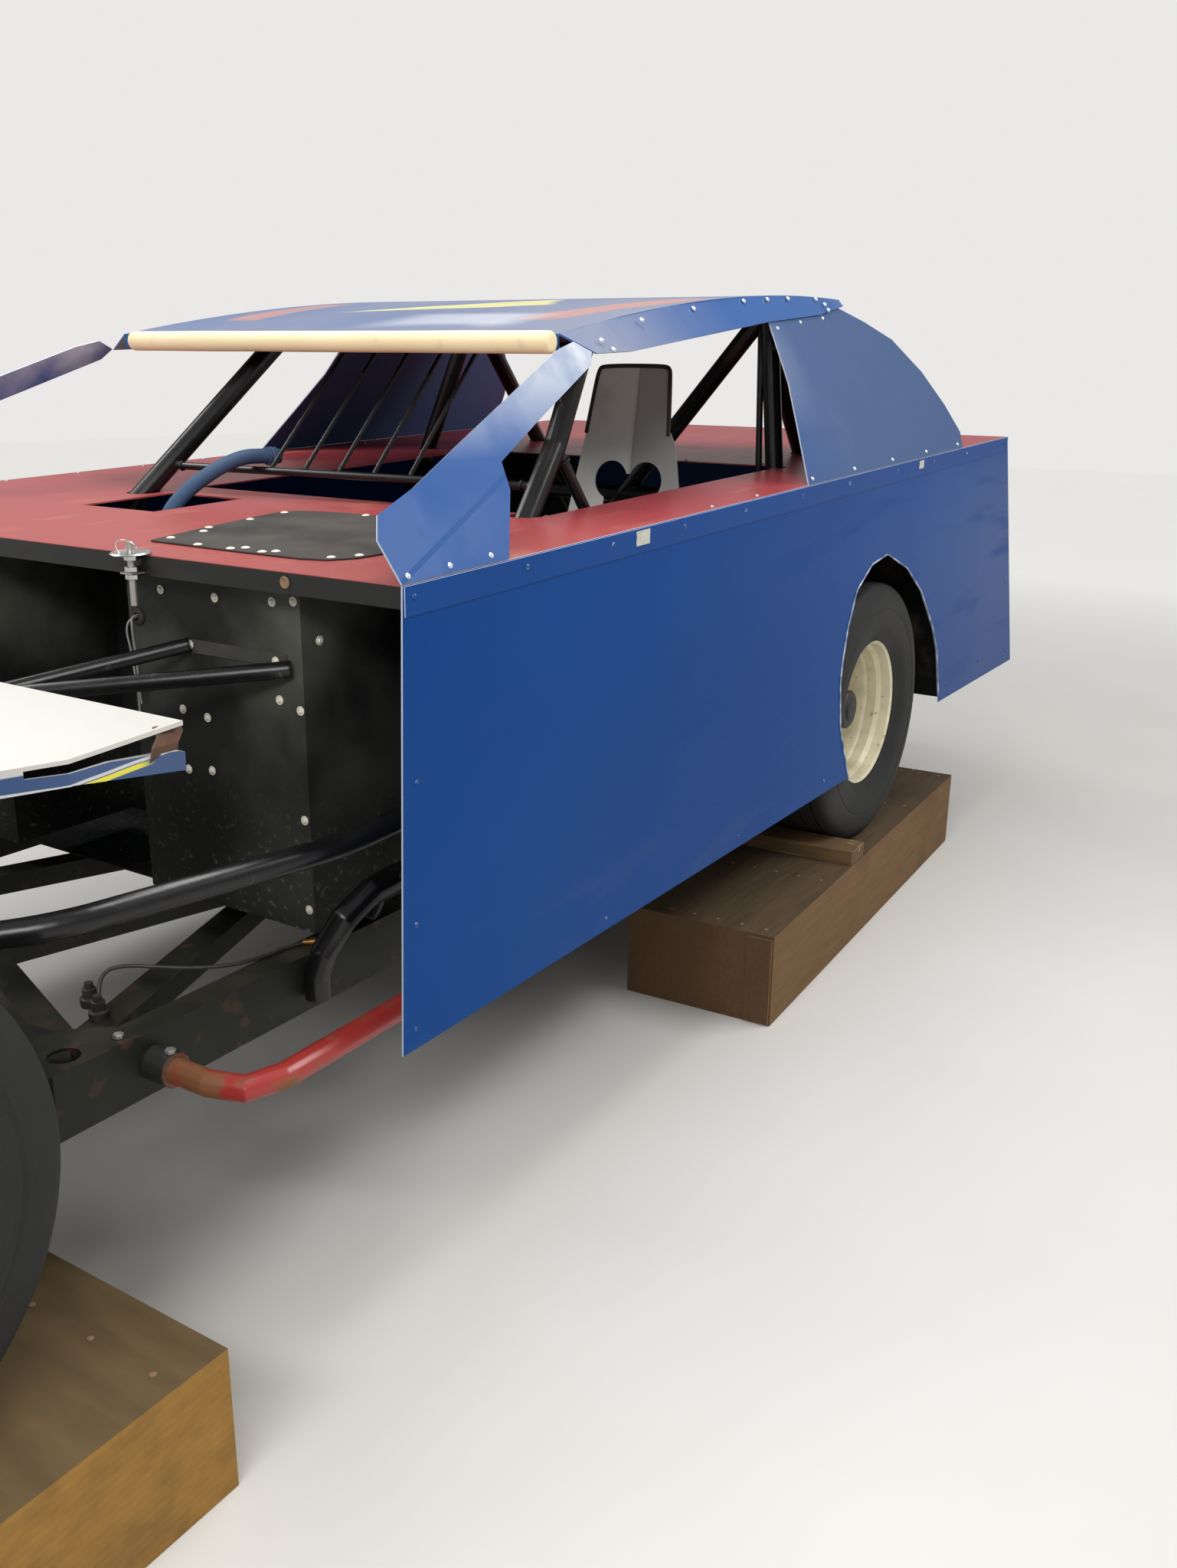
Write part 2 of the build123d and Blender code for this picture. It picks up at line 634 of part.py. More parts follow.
def build_roof():
    (ya, za), (yb, zb), (yc, zc) = ROOF_FRONT, ROOF_MID, ROOF_REAR
    upper = ThreePointArc((-ROOF_HALF, ya, za), (-ROOF_HALF, yb, zb), (-ROOF_HALF, yc, zc))
    lower = ThreePointArc((-ROOF_HALF, yc, zc - SHEET), (-ROOF_HALF, yb, zb - SHEET), (-ROOF_HALF, ya, za - SHEET))
    front = Line(lower @ 1, upper @ 0)
    rear = Line(upper @ 1, lower @ 0)
    face = make_face(Wire([upper, rear, lower, front]))
    sheet = extrude(face, amount=2 * ROOF_HALF, dir=(1, 0, 0))
    skirt = roof_skirt()
    lip = box(-ROOF_HALF + 2, ROOF_HALF - 2, ya, ya + SHEET, za - 30.0, za - SHEET / 2)
    save("roof", sheet + skirt + mirrored(skirt) + lip)
    pad = lying_cylinder(PAD_R, PAD_RIGHT_X, ROOF_HALF, ROOF_FRONT[0] - PAD_R - REST, ROOF_FRONT[1] - 16.0)
    save("roof_pad", pad)


POST_PANEL = [(-754.0, deck_z(-754.0) + REST), (-761.0, 1206.0), (-738.0, 1237.0), (-637.0, 1268.0),
              (-482.0, 1326.0), (-326.0, 1383.0), (-100.0, 1466.0), (-40.0, 1480.0), (4.0, 1463.0),
              (-19.0, 1440.0), (-262.0, 1349.0), (-409.0, 1292.0), (-421.0, 1250.0),
              (-502.0, deck_z(-502.0) + REST)]
SAIL_PANEL = [(623.0, deck_z(623.0) + REST), (703.0, 1314.0), (766.0, 1409.0), (817.0, 1546.0), (1256.0, 1592.0),
              (1400.0, 1560.0), (1540.0, 1519.0), (1650.0, 1436.0), (1707.0, 1348.0), (1728.0, 1275.0),
              (1691.0, deck_z(1691.0) + REST)]


def leaning_panel(outline):
    """Sheet standing on the body side and leaning inward, from its (y, z) outline seen from the side."""
    corners = [(lean_x(y, z), y, z) for y, z in outline]
    origin = Vector(SKIN_X - 1.0, DOOR_Y, deck_z(DOOR_Y) + REST)
    along = Vector(0, 1, DECK_SLOPE)
    up = Vector(-LEAN, 0, 1)
    plane = Plane(origin=origin, x_dir=along, z_dir=along.cross(up))
    flat = [plane.to_local_coords(Vector(*c)) for c in corners]
    face = plane * make_face(Polyline(*[(v.X, v.Y) for v in flat], close=True))
    return extrude(face, amount=SHEET)


def build_leaning_panels():
    post = leaning_panel(POST_PANEL)
    save("post_panel_left", post)
    save("post_panel_right", mirrored(post))
    sail = leaning_panel(SAIL_PANEL)
    save("sail_panel_left", sail)
    save("sail_panel_right", mirrored(sail))


def build_tail_panel():
    """Tail sheet along the rear edge of the sides, and a splash sheet behind each rear wheel."""
    top = deck_z(TAIL_TOP_Y - SHEET) - SHEET
    low_y = TAIL_TOP_Y + TAIL_DROP_Y
    points = [(TAIL_TOP_Y - SHEET, top), (TAIL_TOP_Y, top), (low_y, TAIL_LOW_Z), (low_y - SHEET, TAIL_LOW_Z)]
    under_deck = deck_z(SPLASH_Y) - SHEET - REST
    splash = box(SPLASH_X, SKIN_X, SPLASH_Y, SPLASH_Y + SHEET, TAIL_FOOT_Z, under_deck)
    save("tail_panel", side_plate(points, -SKIN_X, SKIN_X), *both_sides(splash))


NOSE_TOP = [(-960.0, 966.0), (-1350.0, 890.0), (-2380.0, 610.0), (-2440.0, 560.0), (-2440.0, 430.0)]
NOSE_PLAN = [(612.0, -960.0), (560.0, -1110.0), (398.0, -1270.0), (392.0, -2100.0), (375.0, -2440.0)]
NOSE_UNDER = [(-900.0, 893.0), (-1106.0, 900.0), (-1190.0, 884.0), (-2380.0, 540.0), (-2500.0, 480.0)]
NOSE_SLOT = [(-930.0, 964.0), (-968.0, 958.0), (-1060.0, 940.0), (-1150.0, 923.0), (-1150.0, 912.0), (-1060.0, 924.0),
             (-968.0, 924.0), (-930.0, 912.0)]


def nose_solid(inset):
    top = [(y + inset * (1 if z < 600 else 0), z - inset) for y, z in NOSE_TOP]
    side = [(top[0][0] + 40 * (inset > 0), top[0][1])] + top[1:]
    side += [(NOSE_TOP[-1][0] + inset, 380.0), (side[0][0], 380.0)]
    body = side_plate(side, -700, 700)
    half = [(x - inset, y + (inset if i == len(NOSE_PLAN) - 1 else 0)) for i, (x, y) in enumerate(NOSE_PLAN)]
    if inset:
        half[0] = (half[0][0], half[0][1] + 40)
    other = [(-x, y) for x, y in reversed(half)]
    return body & plan_plate(half + other, 300, 1100)


def build_nose():
    """Nose sheet with a side lip that hangs free of its rear corner."""
    shell = nose_solid(0) - nose_solid(4.0)
    under = side_plate(NOSE_UNDER + [(-2500.0, 300.0), (-900.0, 300.0)], -800, 800)
    slot = side_plate(NOSE_SLOT, 480.0, 700.0)
    save("nose", shell - under - slot - mirrored(slot))


# Cockpit

SEAT_X = 318.0
SEAT_Y = 600.0
SEAT_T = 4.0
SEAT_HALF = 190.0
SEAT_BACK = [
    # distance to the left of the middle, height along the back
    (SEAT_HALF, 0.0), (SEAT_HALF, 150.0), (170.0, 480.0), (165.0, 570.0), (134.0, 714.0), (113.0, 749.0),
    (102.0, 872.0), (85.0, 895.0), (-91.0, 894.0), (-105.0, 844.0), (-121.0, 722.0), (-137.0, 627.0),
    (-160.0, 480.0), (-SEAT_HALF, 150.0), (-SEAT_HALF, 0.0),
]


def build_seat():
    """Aluminium seat: leaning back plate with side wings, base pan and a two-lobed pad opening."""
    face = make_face(Polyline(*SEAT_BACK, close=True))
    plate = extrude(face, amount=SEAT_T)
    lobes = Pos(-35, 626) * Circle(46) + Pos(61, 626) * Circle(46) + Pos(13, 584) * Rectangle(130, 116)
    plate -= Pos(0, 0, -1) * extrude(lobes, amount=SEAT_T + 2)
    stand = Plane(origin=(SEAT_X, SEAT_Y, 557.0), x_dir=(1, 0, 0), z_dir=(0, -1, 0.16))
    back_plate = stand * plate
    base = box(SEAT_X - SEAT_HALF, SEAT_X + SEAT_HALF, SEAT_Y - 420, SEAT_Y + 2, 556.0, 556.0 + SEAT_T)
    wings = []
    for side in (-1, 1):
        x = SEAT_X + side * (SEAT_HALF + 2)
        x0, x1 = sorted((x, x - side * SEAT_T))
        wings.append(side_plate([(SEAT_Y - 420, 556), (SEAT_Y + 2, 556), (SEAT_Y + 60, 900),
                                 (SEAT_Y - 60, 980), (SEAT_Y - 150, 720), (SEAT_Y - 420, 640)], x0, x1))
    legs = []
    for x in (SEAT_X - 150, SEAT_X + 150):
        for y in (SEAT_Y - 380, SEAT_Y - 40):
            legs.append(box(x - 15, x + 15, y - 15, y + 15, FLOOR_TOP + REST, 558.0))
    whole = back_plate + base
    for piece in wings + legs:
        whole += piece
    save("seat", whole)


def build_column():
    shaft = tube([(SEAT_X, 160.0, 980.0), (SEAT_X, -440.0, 800.0)], 12.0)
    hub = tube([(SEAT_X, 190.0, 989.0), (SEAT_X, 150.0, 977.0)], 24.0)
    lower = tube([(SEAT_X, -440.0, 800.0), (SEAT_X, -720.0, 716.0)], 12.0)
    ahead = box(SEAT_X - 50, SEAT_X + 50, -800, FIREWALL_Y + SHEET + REST, 600, 900)
    save("steering_column", shaft + hub + lower - ahead)


# Steering and front suspension

def eye_arm(x, y, pivot_r, end_r):
    """Flat arm pointing forward with an eye at both ends."""
    z0, z1 = ARM_Z - ARM_T / 2, ARM_Z + ARM_T / 2
    bar = box(x - 13, x + 13, y - ARM_LEN, y, z0, z1)
    body = bar + upright_bar(EYE_R + 4, x, y, z0, z1) + upright_bar(EYE_R, x, y - ARM_LEN, z0, z1)
    body -= upright_cylinder(pivot_r, x, y, z0 - 1, z1 + 1)
    return body - upright_cylinder(end_r, x, y - ARM_LEN, z0 - 1, z1 + 1)


def build_knuckles():
    x, y = KING_X, FRONT_AXLE_Y
    boss = upright_bar(KING_BOSS_R, x, y, 470.0, AXLE_Z + 85)
    spindle = lying_bar(SPINDLE_R, x + KING_BOSS_R - 6, FRONT_WHEEL_X - 4, y, AXLE_Z)
    arm = box(x - 13, x + 13, y - ARM_LEN, y, ARM_Z - ARM_T / 2, ARM_Z + ARM_T / 2)
    eye = upright_bar(EYE_R, x, y - ARM_LEN, ARM_Z - ARM_T / 2, ARM_Z + ARM_T / 2)
    body = boss + spindle + arm + eye
    body -= upright_cylinder(KING_R + PIN_GAP, x, y, 400.0, 800.0)
    body -= upright_cylinder(LINK_PIN_R + PIN_GAP, x, y - ARM_LEN, 400.0, 800.0)
    save("knuckle_left", body)
    save("knuckle_right", mirrored(body))


LINK_ENDS = (KING_X, 250.0)


def build_linkage():
    y = FRONT_AXLE_Y - ARM_LEN
    z = ARM_Z - LINK_DROP
    link = lying_bar(LINK_R, -KING_X - 14, KING_X + 14, y, z)
    for x in LINK_ENDS:
        for pin in both_sides(upright_bar(LINK_PIN_R, x, y, z, ARM_Z + 14)):
            link += pin
    save("centre_link", link)
    arm = eye_arm(LINK_ENDS[1], FRONT_AXLE_Y, KING_R + PIN_GAP, LINK_PIN_R + PIN_GAP)
    save("pitman_arm", arm)
    save("idler_arm", mirrored(arm))


def build_front_arms():
    x, y = KING_X, FRONT_AXLE_Y
    lower_z, upper_z = 449.0, AXLE_Z + 115
    king = upright_bar(KING_R, x, y, lower_z, upper_z)
    lower_foot = upright_bar(24.0, x, y, lower_z - 12, lower_z + 12)
    upper_foot = upright_bar(22.0, x, y, upper_z - 10, upper_z + 10)
    inner = CLIP_X + RAIL_W / 2
    legs = []
    for step in (-1, 1):
        legs.append(tube([(x, y, lower_z), (390.0, y + step * 60, 432.0), (320.0, y + step * 60, 432.0)], 14.0))
        legs.append(tube([(x, y, upper_z), (inner, y + step * 70, KICK_Z - 10)], 12.0))
    body = king + lower_foot + upper_foot
    for leg in legs:
        body += leg
    body += box(425.0, 471.0, y - 42, y + 42, 444.0, SHOCK_SEAT_Z)
    beside_rail = box(0, inner, y - 200, y + 200, 480.0, 800.0)
    beside_member = box(0, inner - RAIL_W, y - 200, y + 200, 380.0, 480.0)
    left = body - beside_rail - beside_member
    pin = upright_bar(KING_R, LINK_ENDS[1], y, 450.0, ARM_Z + 14)
    save("front_arms", *both_sides(left), *both_sides(pin))


def build_front_shocks():
    y = FRONT_AXLE_Y
    collar = (CLIP_X + 21.5, y, 690.0)
    body = tube([(448.0, y, 475.0), collar], 24.0)
    rod = tube([collar, (CLIP_X + 1.5, y, 750.0)], 10.0)
    leg = box(CLIP_X - 20, CLIP_X + 10, y - 20, y + 20, KICK_Z, 765.0)
    foot = upright_bar(18.0, 448.0, y, SHOCK_SEAT_Z + REST, 490.0)
    inside = box(CLIP_X - 80, CLIP_X + RAIL_W / 2, y - 60, y + 60, 500.0, KICK_Z)
    save("front_shocks", *both_sides(body + rod + leg + foot - inside))


# Rear running gear, tank and radiator

def build_rear_axle():
    reach = REAR_WHEEL_X + HUB_IN - 8
    tube_axle = lying_bar(38.0, -reach, reach, REAR_AXLE_Y, AXLE_Z)
    ends = lying_bar(SPINDLE_R, -REAR_WHEEL_X + 4, REAR_WHEEL_X - 4, REAR_AXLE_Y, AXLE_Z)
    centre = lying_bar(125.0, -90.0, 60.0, REAR_AXLE_Y, AXLE_Z)
    nose = tube([(-15, REAR_AXLE_Y - 210, AXLE_Z - 10), (-15, REAR_AXLE_Y - 90, AXLE_Z - 10)], 55.0)
    springs = []
    for side in (-1, 1):
        x = side * REAR_RAIL_X
        seat = box(x - 55, x + 55, REAR_AXLE_Y - 55, REAR_AXLE_Y + 55, AXLE_Z + 38, AXLE_Z + 46)
        spring = upright_bar(48.0, x, REAR_AXLE_Y, AXLE_Z + 46, REAR_KICK_Z - RAIL_H)
        springs.append(seat + spring)
    save("rear_axle", tube_axle + ends + centre + nose, *springs)


def build_tank():
    tank = box(-310.0, 310.0, 1820.0, 2165.0, 620.0 + REST, 880.0)
    save("fuel_cell", fillet(tank.edges().filter_by(Axis.Z), 30.0))


def build_radiator():
    core = box(-290.0, 290.0, RADIATOR_Y - 25, RADIATOR_Y + 25, 450.0 + REST, 669.5)
    save("radiator", core)


def build_hose():
    over_bar = DASH_LEFT[2] + DASH_R + REST + HOSE_R * math.cos(math.pi / BAR_SIDES)
    path = [(-168.0, -330.0, 1010.0), (-166.0, -323.0, 1090.0), (-158.0, -297.0, 1142.0), (-145.0, -255.0, 1184.0),
            (-126.0, -192.0, 1222.0), (-109.0, -135.0, over_bar), (-84.0, -52.0, over_bar)]
    save("duct_hose", tube(path, HOSE_R))


build_wheels()
build_cribs()
build_frame()
build_cage()
build_engine_bay_bars()
build_bumpers()
build_rub_bars()
build_side_panels()
build_decks()
build_firewall()
build_floor()
build_roof()
build_leaning_panels()
build_tail_panel()
build_nose()
build_seat()
build_column()
build_knuckles()
build_linkage()
build_front_arms()
build_front_shocks()
build_rear_axle()
build_tank()
build_radiator()
build_hose()
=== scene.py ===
# Dirt track stock car on four wooden wheel boxes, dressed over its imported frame.
# Lengths are metres, and millimetres in the outlines of turned pieces. Z is up, the nose points
# to -Y and the driver's left is +X.
import bpy
import math
import random
from mathutils import Matrix, Vector


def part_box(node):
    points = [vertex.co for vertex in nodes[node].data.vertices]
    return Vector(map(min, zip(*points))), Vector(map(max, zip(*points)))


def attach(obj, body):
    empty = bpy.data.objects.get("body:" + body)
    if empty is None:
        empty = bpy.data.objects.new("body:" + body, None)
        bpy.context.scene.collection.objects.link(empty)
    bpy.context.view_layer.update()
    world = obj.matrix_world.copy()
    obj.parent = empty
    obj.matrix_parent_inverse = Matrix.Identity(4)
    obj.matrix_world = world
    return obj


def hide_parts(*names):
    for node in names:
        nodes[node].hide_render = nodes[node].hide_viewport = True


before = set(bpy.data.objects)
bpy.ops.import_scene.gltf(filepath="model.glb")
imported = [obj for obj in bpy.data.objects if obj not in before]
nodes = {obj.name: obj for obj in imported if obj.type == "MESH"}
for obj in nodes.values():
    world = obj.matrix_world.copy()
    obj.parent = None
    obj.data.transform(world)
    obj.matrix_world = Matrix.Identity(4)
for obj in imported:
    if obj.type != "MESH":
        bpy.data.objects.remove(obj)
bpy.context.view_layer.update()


# The camera stands where the photograph was taken, beside the left front wheel and a little
# above the deck, and looks back along the side of the car.
camera_place = (2.0426, -2.1813, 1.4385)
camera_turn = math.radians(32.2)
camera_down = math.radians(17.2)
camera_roll = math.radians(0.8)
forward = Vector((-math.sin(camera_turn) * math.cos(camera_down),
                  math.cos(camera_turn) * math.cos(camera_down), -math.sin(camera_down)))
level_right = Vector((math.cos(camera_turn), math.sin(camera_turn), 0))
level_up = level_right.cross(forward)
right = level_right * math.cos(camera_roll) + level_up * math.sin(camera_roll)
up = level_up * math.cos(camera_roll) - level_right * math.sin(camera_roll)
camera_data = bpy.data.cameras.new("photo_camera")
camera_data.lens = 30.94
camera_data.sensor_width = 36
camera_data.clip_end = 60
camera = bpy.data.objects.new("photo_camera", camera_data)
bpy.context.scene.collection.objects.link(camera)
camera.matrix_world = Matrix.Translation(camera_place) @ Matrix((right, up, -forward)).transposed().to_4x4()
bpy.context.scene.camera = camera


# The studio: a plain pale floor that glows a little far out, where it meets the pale surround, and
# four large soft lamps overhead, like the rows of tubes on a workshop ceiling.
class Signal:
    """A shader socket that adds its own Math nodes when it is used in an expression."""

    def __init__(self, shade, socket):
        self.shade = shade
        self.socket = socket

    def math(self, operation, first, second=0):
        return self.shade.add("ShaderNodeMath", {"operation": operation}, {0: first, 1: second})

    def __add__(self, other):
        return self.math("ADD", self, other)

    def __radd__(self, other):
        return self.math("ADD", other, self)

    def __sub__(self, other):
        return self.math("SUBTRACT", self, other)

    def __rsub__(self, other):
        return self.math("SUBTRACT", other, self)

    def __mul__(self, other):
        return self.math("MULTIPLY", self, other)

    def __rmul__(self, other):
        return self.math("MULTIPLY", other, self)

    def power(self, other):
        return self.math("POWER", self, other)

    def wave(self):
        return self.math("SINE", self)

    def size(self):
        return self.math("ABSOLUTE", self)


class Shade:
    """One material, its nodes and the masks that its patterns are made of."""

    def __init__(self, name):
        self.material = bpy.data.materials.new(name)
        self.material.use_nodes = True
        self.tree = self.material.node_tree
        self.surface = self.tree.nodes["Principled BSDF"]
        self.here = self.add("ShaderNodeTexCoord", output="Object")

    def add(self, kind, settings=None, sockets=None, output=0):
        """A node of one type: its settings come first, then the values or links of its sockets."""
        node = self.tree.nodes.new(kind)
        for key, value in (settings or {}).items():
            setattr(node, key, value)
        self.feed(node, sockets or {})
        return Signal(self, node.outputs[output])

    def feed(self, node, sockets):
        for key, value in sockets.items():
            if isinstance(value, Signal):
                self.tree.links.new(value.socket, node.inputs[key])
            else:
                node.inputs[key].default_value = value

    def noise(self, scale, detail=4, stretch=None):
        place = self.here
        if stretch:
            place = self.add("ShaderNodeMapping", None, {"Vector": place, "Scale": stretch})
        return self.add("ShaderNodeTexNoise", None, {"Vector": place, "Scale": scale, "Detail": detail})

    def part(self, name, of=None):
        """One of X, Y and Z of the place, or of another vector."""
        return self.add("ShaderNodeSeparateXYZ", None, {0: of or self.here}, output=name)

    def step(self, value, low, high):
        """0 below low, 1 above high."""
        return self.add("ShaderNodeMapRange", None, {0: value, 1: low, 2: high, 3: 0, 4: 1})

    def below(self, value, low, high):
        """1 below low, 0 above high."""
        return 1 - self.step(value, low, high)

    def band(self, value, low, high, soft):
        """1 between low and high, with soft ends."""
        return self.step(value, low - soft, low) * self.below(value, high, high + soft)

    def patches(self, scale, detail, low, high, stretch=None):
        """1 in the patches where a noise is high."""
        return self.step(self.noise(scale, detail, stretch), low, high)

    def mix(self, share, first, second):
        first, second = [one if isinstance(one, Signal) else (*one, 1) for one in (first, second)]
        return self.add("ShaderNodeMix", {"data_type": "RGBA"}, {0: share, 6: first, 7: second}, output=2)

    def layered(self, share, first, second, *layers):
        """A mix of two colours with others over it, each given as its share and its colour."""
        colour = self.mix(share, first, second)
        for share, over in layers:
            colour = self.mix(share, colour, over)
        return colour

    def facing(self, name):
        """One of X, Y and Z of the way that the surface faces."""
        return self.part(name, self.add("ShaderNodeNewGeometry", output="Normal"))

    def faces_up(self):
        """1 where the surface looks at the ceiling, where dust settles."""
        return self.step(self.facing("Z"), 0.3, 0.95)

    def rounding(self, radius, samples):
        return self.add("ShaderNodeBevel", {"samples": samples}, {"Radius": radius})

    def edges(self, width):
        """1 on the sharp edges of a form, where paint wears off first."""
        real = self.add("ShaderNodeNewGeometry", output="Normal")
        same = self.add("ShaderNodeVectorMath", {"operation": "DOT_PRODUCT"},
                        {0: real, 1: self.rounding(width, 4)}, output="Value")
        return self.step(1 - same, 0.02, 0.25)

    def finish(self, colour, roughness, height=None, depth=0.001, strength=1, gloss=0.5, blend=0,
               **sockets):
        """Wire the surface up, with a relief, and with facets blended over a width where blend is given."""
        self.feed(self.surface, {"Base Color": colour, "Roughness": roughness, "Specular IOR Level": gloss})
        if height is not None:
            relief = {"Height": height, "Distance": depth, "Strength": strength}
            if blend:
                relief["Normal"] = self.rounding(blend, 6)
            self.feed(self.surface, {"Normal": self.add("ShaderNodeBump", None, relief)})
        self.feed(self.surface, {key.replace("_", " "): value for key, value in sockets.items()})
        return self.material


def deselect():
    bpy.ops.object.select_all(action="DESELECT")


def painted(piece, material):
    """Give a piece or a CAD node one material all over."""
    if not piece.material_slots:
        piece.data.materials.append(material)
    for slot in piece.material_slots:
        slot.material = material


deselect()
bpy.ops.mesh.primitive_plane_add(size=40, location=(0, 0, -0.001))
floor = bpy.context.object
floor.name = "studio_floor"
concrete = Shade("pale_floor")
floor_colour = concrete.mix(concrete.noise(1.5, 6), (0.64, 0.63, 0.6), (0.72, 0.71, 0.68))
away = concrete.add("ShaderNodeVectorMath", {"operation": "LENGTH"}, {0: concrete.here}, output="Value")
far_glow = concrete.mix(concrete.step(away, 2.6, 8), (0, 0, 0), (0.5, 0.495, 0.485))
painted(floor, concrete.finish(floor_colour, 0.62, gloss=0.25, Emission_Color=far_glow,
                               Emission_Strength=1))

world = bpy.data.worlds.new("studio")
bpy.context.scene.world = world
world.use_nodes = True
world_nodes = world.node_tree
backdrop = world_nodes.nodes["Background"]
backdrop.inputs["Color"].default_value = (1, 0.99, 0.97, 1)
path = world_nodes.nodes.new("ShaderNodeLightPath")
strength = world_nodes.nodes.new("ShaderNodeMix")
strength.inputs[2].default_value = 0.42
strength.inputs[3].default_value = 0.82
world_nodes.links.new(path.outputs["Is Camera Ray"], strength.inputs[0])
world_nodes.links.new(strength.outputs[0], backdrop.inputs["Strength"])

lamps = [
    # place, length, power
    ((1.7, -3.4, 2.8), 2.4, 84),
    ((0.2, 0.4, 3.6), 2.6, 66),
    ((2.9, 1.6, 3.3), 2.4, 66),
    ((-2.2, -1, 3.4), 2.4, 50),
]
aim = Vector((0, 0, 0.6))
for number, (place, length, power) in enumerate(lamps):
    lamp_data = bpy.data.lights.new("tube_lamp_%d" % number, "AREA")
    lamp_data.shape = "RECTANGLE"
    lamp_data.size = length
    lamp_data.size_y = 0.7
    lamp_data.energy = power
    lamp = bpy.data.objects.new("tube_lamp_%d" % number, lamp_data)
    bpy.context.scene.collection.objects.link(lamp)
    lamp.location = place
    lamp.rotation_euler = (aim - lamp.location).to_track_quat("-Z", "Y").to_euler()
bpy.context.scene.view_settings.view_transform = "Standard"


# The chassis frame: box section steel rails with a front clip, cross members, flat braces and
# gusset plates, welded and sprayed satin black, dusty on top and rubbed to rust on the edges.
def coat(material, *names):
    """Give CAD nodes one material."""
    for name in names:
        painted(nodes[name], material)


paint = Shade("rail_black")
grime = paint.noise(9, 6)
dusty = paint.faces_up() * paint.step(grime, 0.35, 0.65)
rusty = paint.patches(22, 8, 0.6, 0.68)
wear_and_painted_glare = paint.edges(0.004) * paint.patches(35, 4, 0.45, 0.6)
black = paint.layered(grime, (0.005, 0.006, 0.004), (0.015, 0.016, 0.01),
                      (dusty * 0.45, (0.06, 0.054, 0.034)),
                      ((rusty * 0.5 + wear_and_painted_glare * 0.6) * 0.8, (0.1, 0.045, 0.022)))
coat(paint.finish(black, 0.42 + 0.35 * grime, grime, 0.0015, 0.4, 0.35), "frame", "front_arms", "rear_axle")


# The brake pipe: bare grey steel pipe that loops up from a union bolted to the brace and is clipped
# along the top of the rail to a brass fitting beside the foot box.
def mottled(name, scale, detail, first, second, rough, depth, strength, patches=None, **sockets):
    """Finish that wanders between two colours, or has patches of the second, over a fine relief."""
    shade = Shade(name)
    spots = shade.noise(scale, detail)
    share = shade.step(spots, *patches) if patches else spots
    colour = shade.mix(share, first, second)
    return shade.finish(colour, rough[0] + rough[1] * spots, spots, depth, strength, **sockets)


def pick(*pieces):
    """Select these pieces alone and make the first one active."""
    deselect()
    for piece in pieces:
        piece.select_set(True)
    bpy.context.view_layer.objects.active = pieces[0]


def set_down(piece):
    """Put a piece's place, turn and size into its mesh."""
    pick(piece)
    bpy.ops.object.transform_apply(location=True, rotation=True, scale=True)
    return piece


def settled(piece, name, material, body="chassis"):
    """Name a finished piece, set it down, give it its finish and the body it rides on."""
    set_down(piece)
    piece.name = name
    piece.data.name = name
    painted(piece, material)
    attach(piece, body)
    return piece


def rod(points, radius, name, material, order=3):
    """Bent round rod or pipe along a smooth line through its control points, closed at both ends."""
    line = bpy.data.curves.new(name, "CURVE")
    line.dimensions = "3D"
    line.bevel_depth = radius
    line.bevel_resolution = 4
    line.use_fill_caps = True
    spline = line.splines.new("NURBS")
    spline.points.add(len(points) - 1)
    for point, place in zip(spline.points, points):
        point.co = (*place, 1)
    spline.order_u = order
    spline.use_endpoint_u = True
    spline.resolution_u = 8
    piece = bpy.data.objects.new(name, line)
    bpy.context.scene.collection.objects.link(piece)
    pick(piece)
    bpy.ops.object.convert(target="MESH")
    bpy.ops.object.shade_smooth_by_angle(angle=math.radians(40))
    return settled(bpy.context.object, name, material)


pipe_grey = mottled("pipe_grey", 60, 6, (0.055, 0.055, 0.05), (0.12, 0.115, 0.1), (0.4, 0.2), 0.0002, 0.3,
                    Metallic=0.6)
rod([(0.394, -0.982, 0.462), (0.386, -0.975, 0.5), (0.372, -0.95, 0.523), (0.385, -0.915, 0.522),
     (0.42, -0.88, 0.514), (0.46, -0.842, 0.508), (0.5, -0.79, 0.5045), (0.512, -0.73, 0.5045),
     (0.516, -0.69, 0.5045), (0.53, -0.664, 0.506)], 0.0032, "brake_pipe", pipe_grey)


def open_whole():
    """Open the active piece in edit mode with all of it selected."""
    bpy.ops.object.mode_set(mode="EDIT")
    bpy.ops.mesh.select_all(action="SELECT")


def close_outward():
    """Turn all faces of the open piece outward and leave edit mode."""
    bpy.ops.mesh.select_all(action="SELECT")
    bpy.ops.mesh.normals_make_consistent(inside=False)
    bpy.ops.object.mode_set(mode="OBJECT")


def turned(outline, steps=48, angle=32):
    """Solid of revolution about X from its closed (along, radius) outline in millimetres."""
    deselect()
    bpy.ops.mesh.primitive_circle_add(vertices=len(outline), radius=1)
    piece = bpy.context.object
    for corner, (along, radius) in zip(piece.data.vertices, outline):
        corner.co = (along * 0.001, 0, radius * 0.001)
    open_whole()
    bpy.ops.mesh.spin(steps=steps, angle=2 * math.pi, center=(0, 0, 0), axis=(1, 0, 0))
    bpy.ops.mesh.select_all(action="SELECT")
    bpy.ops.mesh.remove_doubles(threshold=0.00002)
    bpy.ops.mesh.dissolve_degenerate(threshold=0.00002)
    close_outward()
    bpy.ops.object.shade_smooth_by_angle(angle=math.radians(angle))
    return piece


def faced(piece, place, out, axis="X", top="Z"):
    """Turn one axis of a piece to face a way, at a place."""
    turn = Vector(out).to_track_quat(axis, top).to_matrix().to_4x4()
    piece.matrix_world = Matrix.Translation(place) @ turn
    return piece


def joined(pieces):
    pick(*pieces)
    if len(pieces) > 1:
        bpy.ops.object.join()
    return pieces[0]


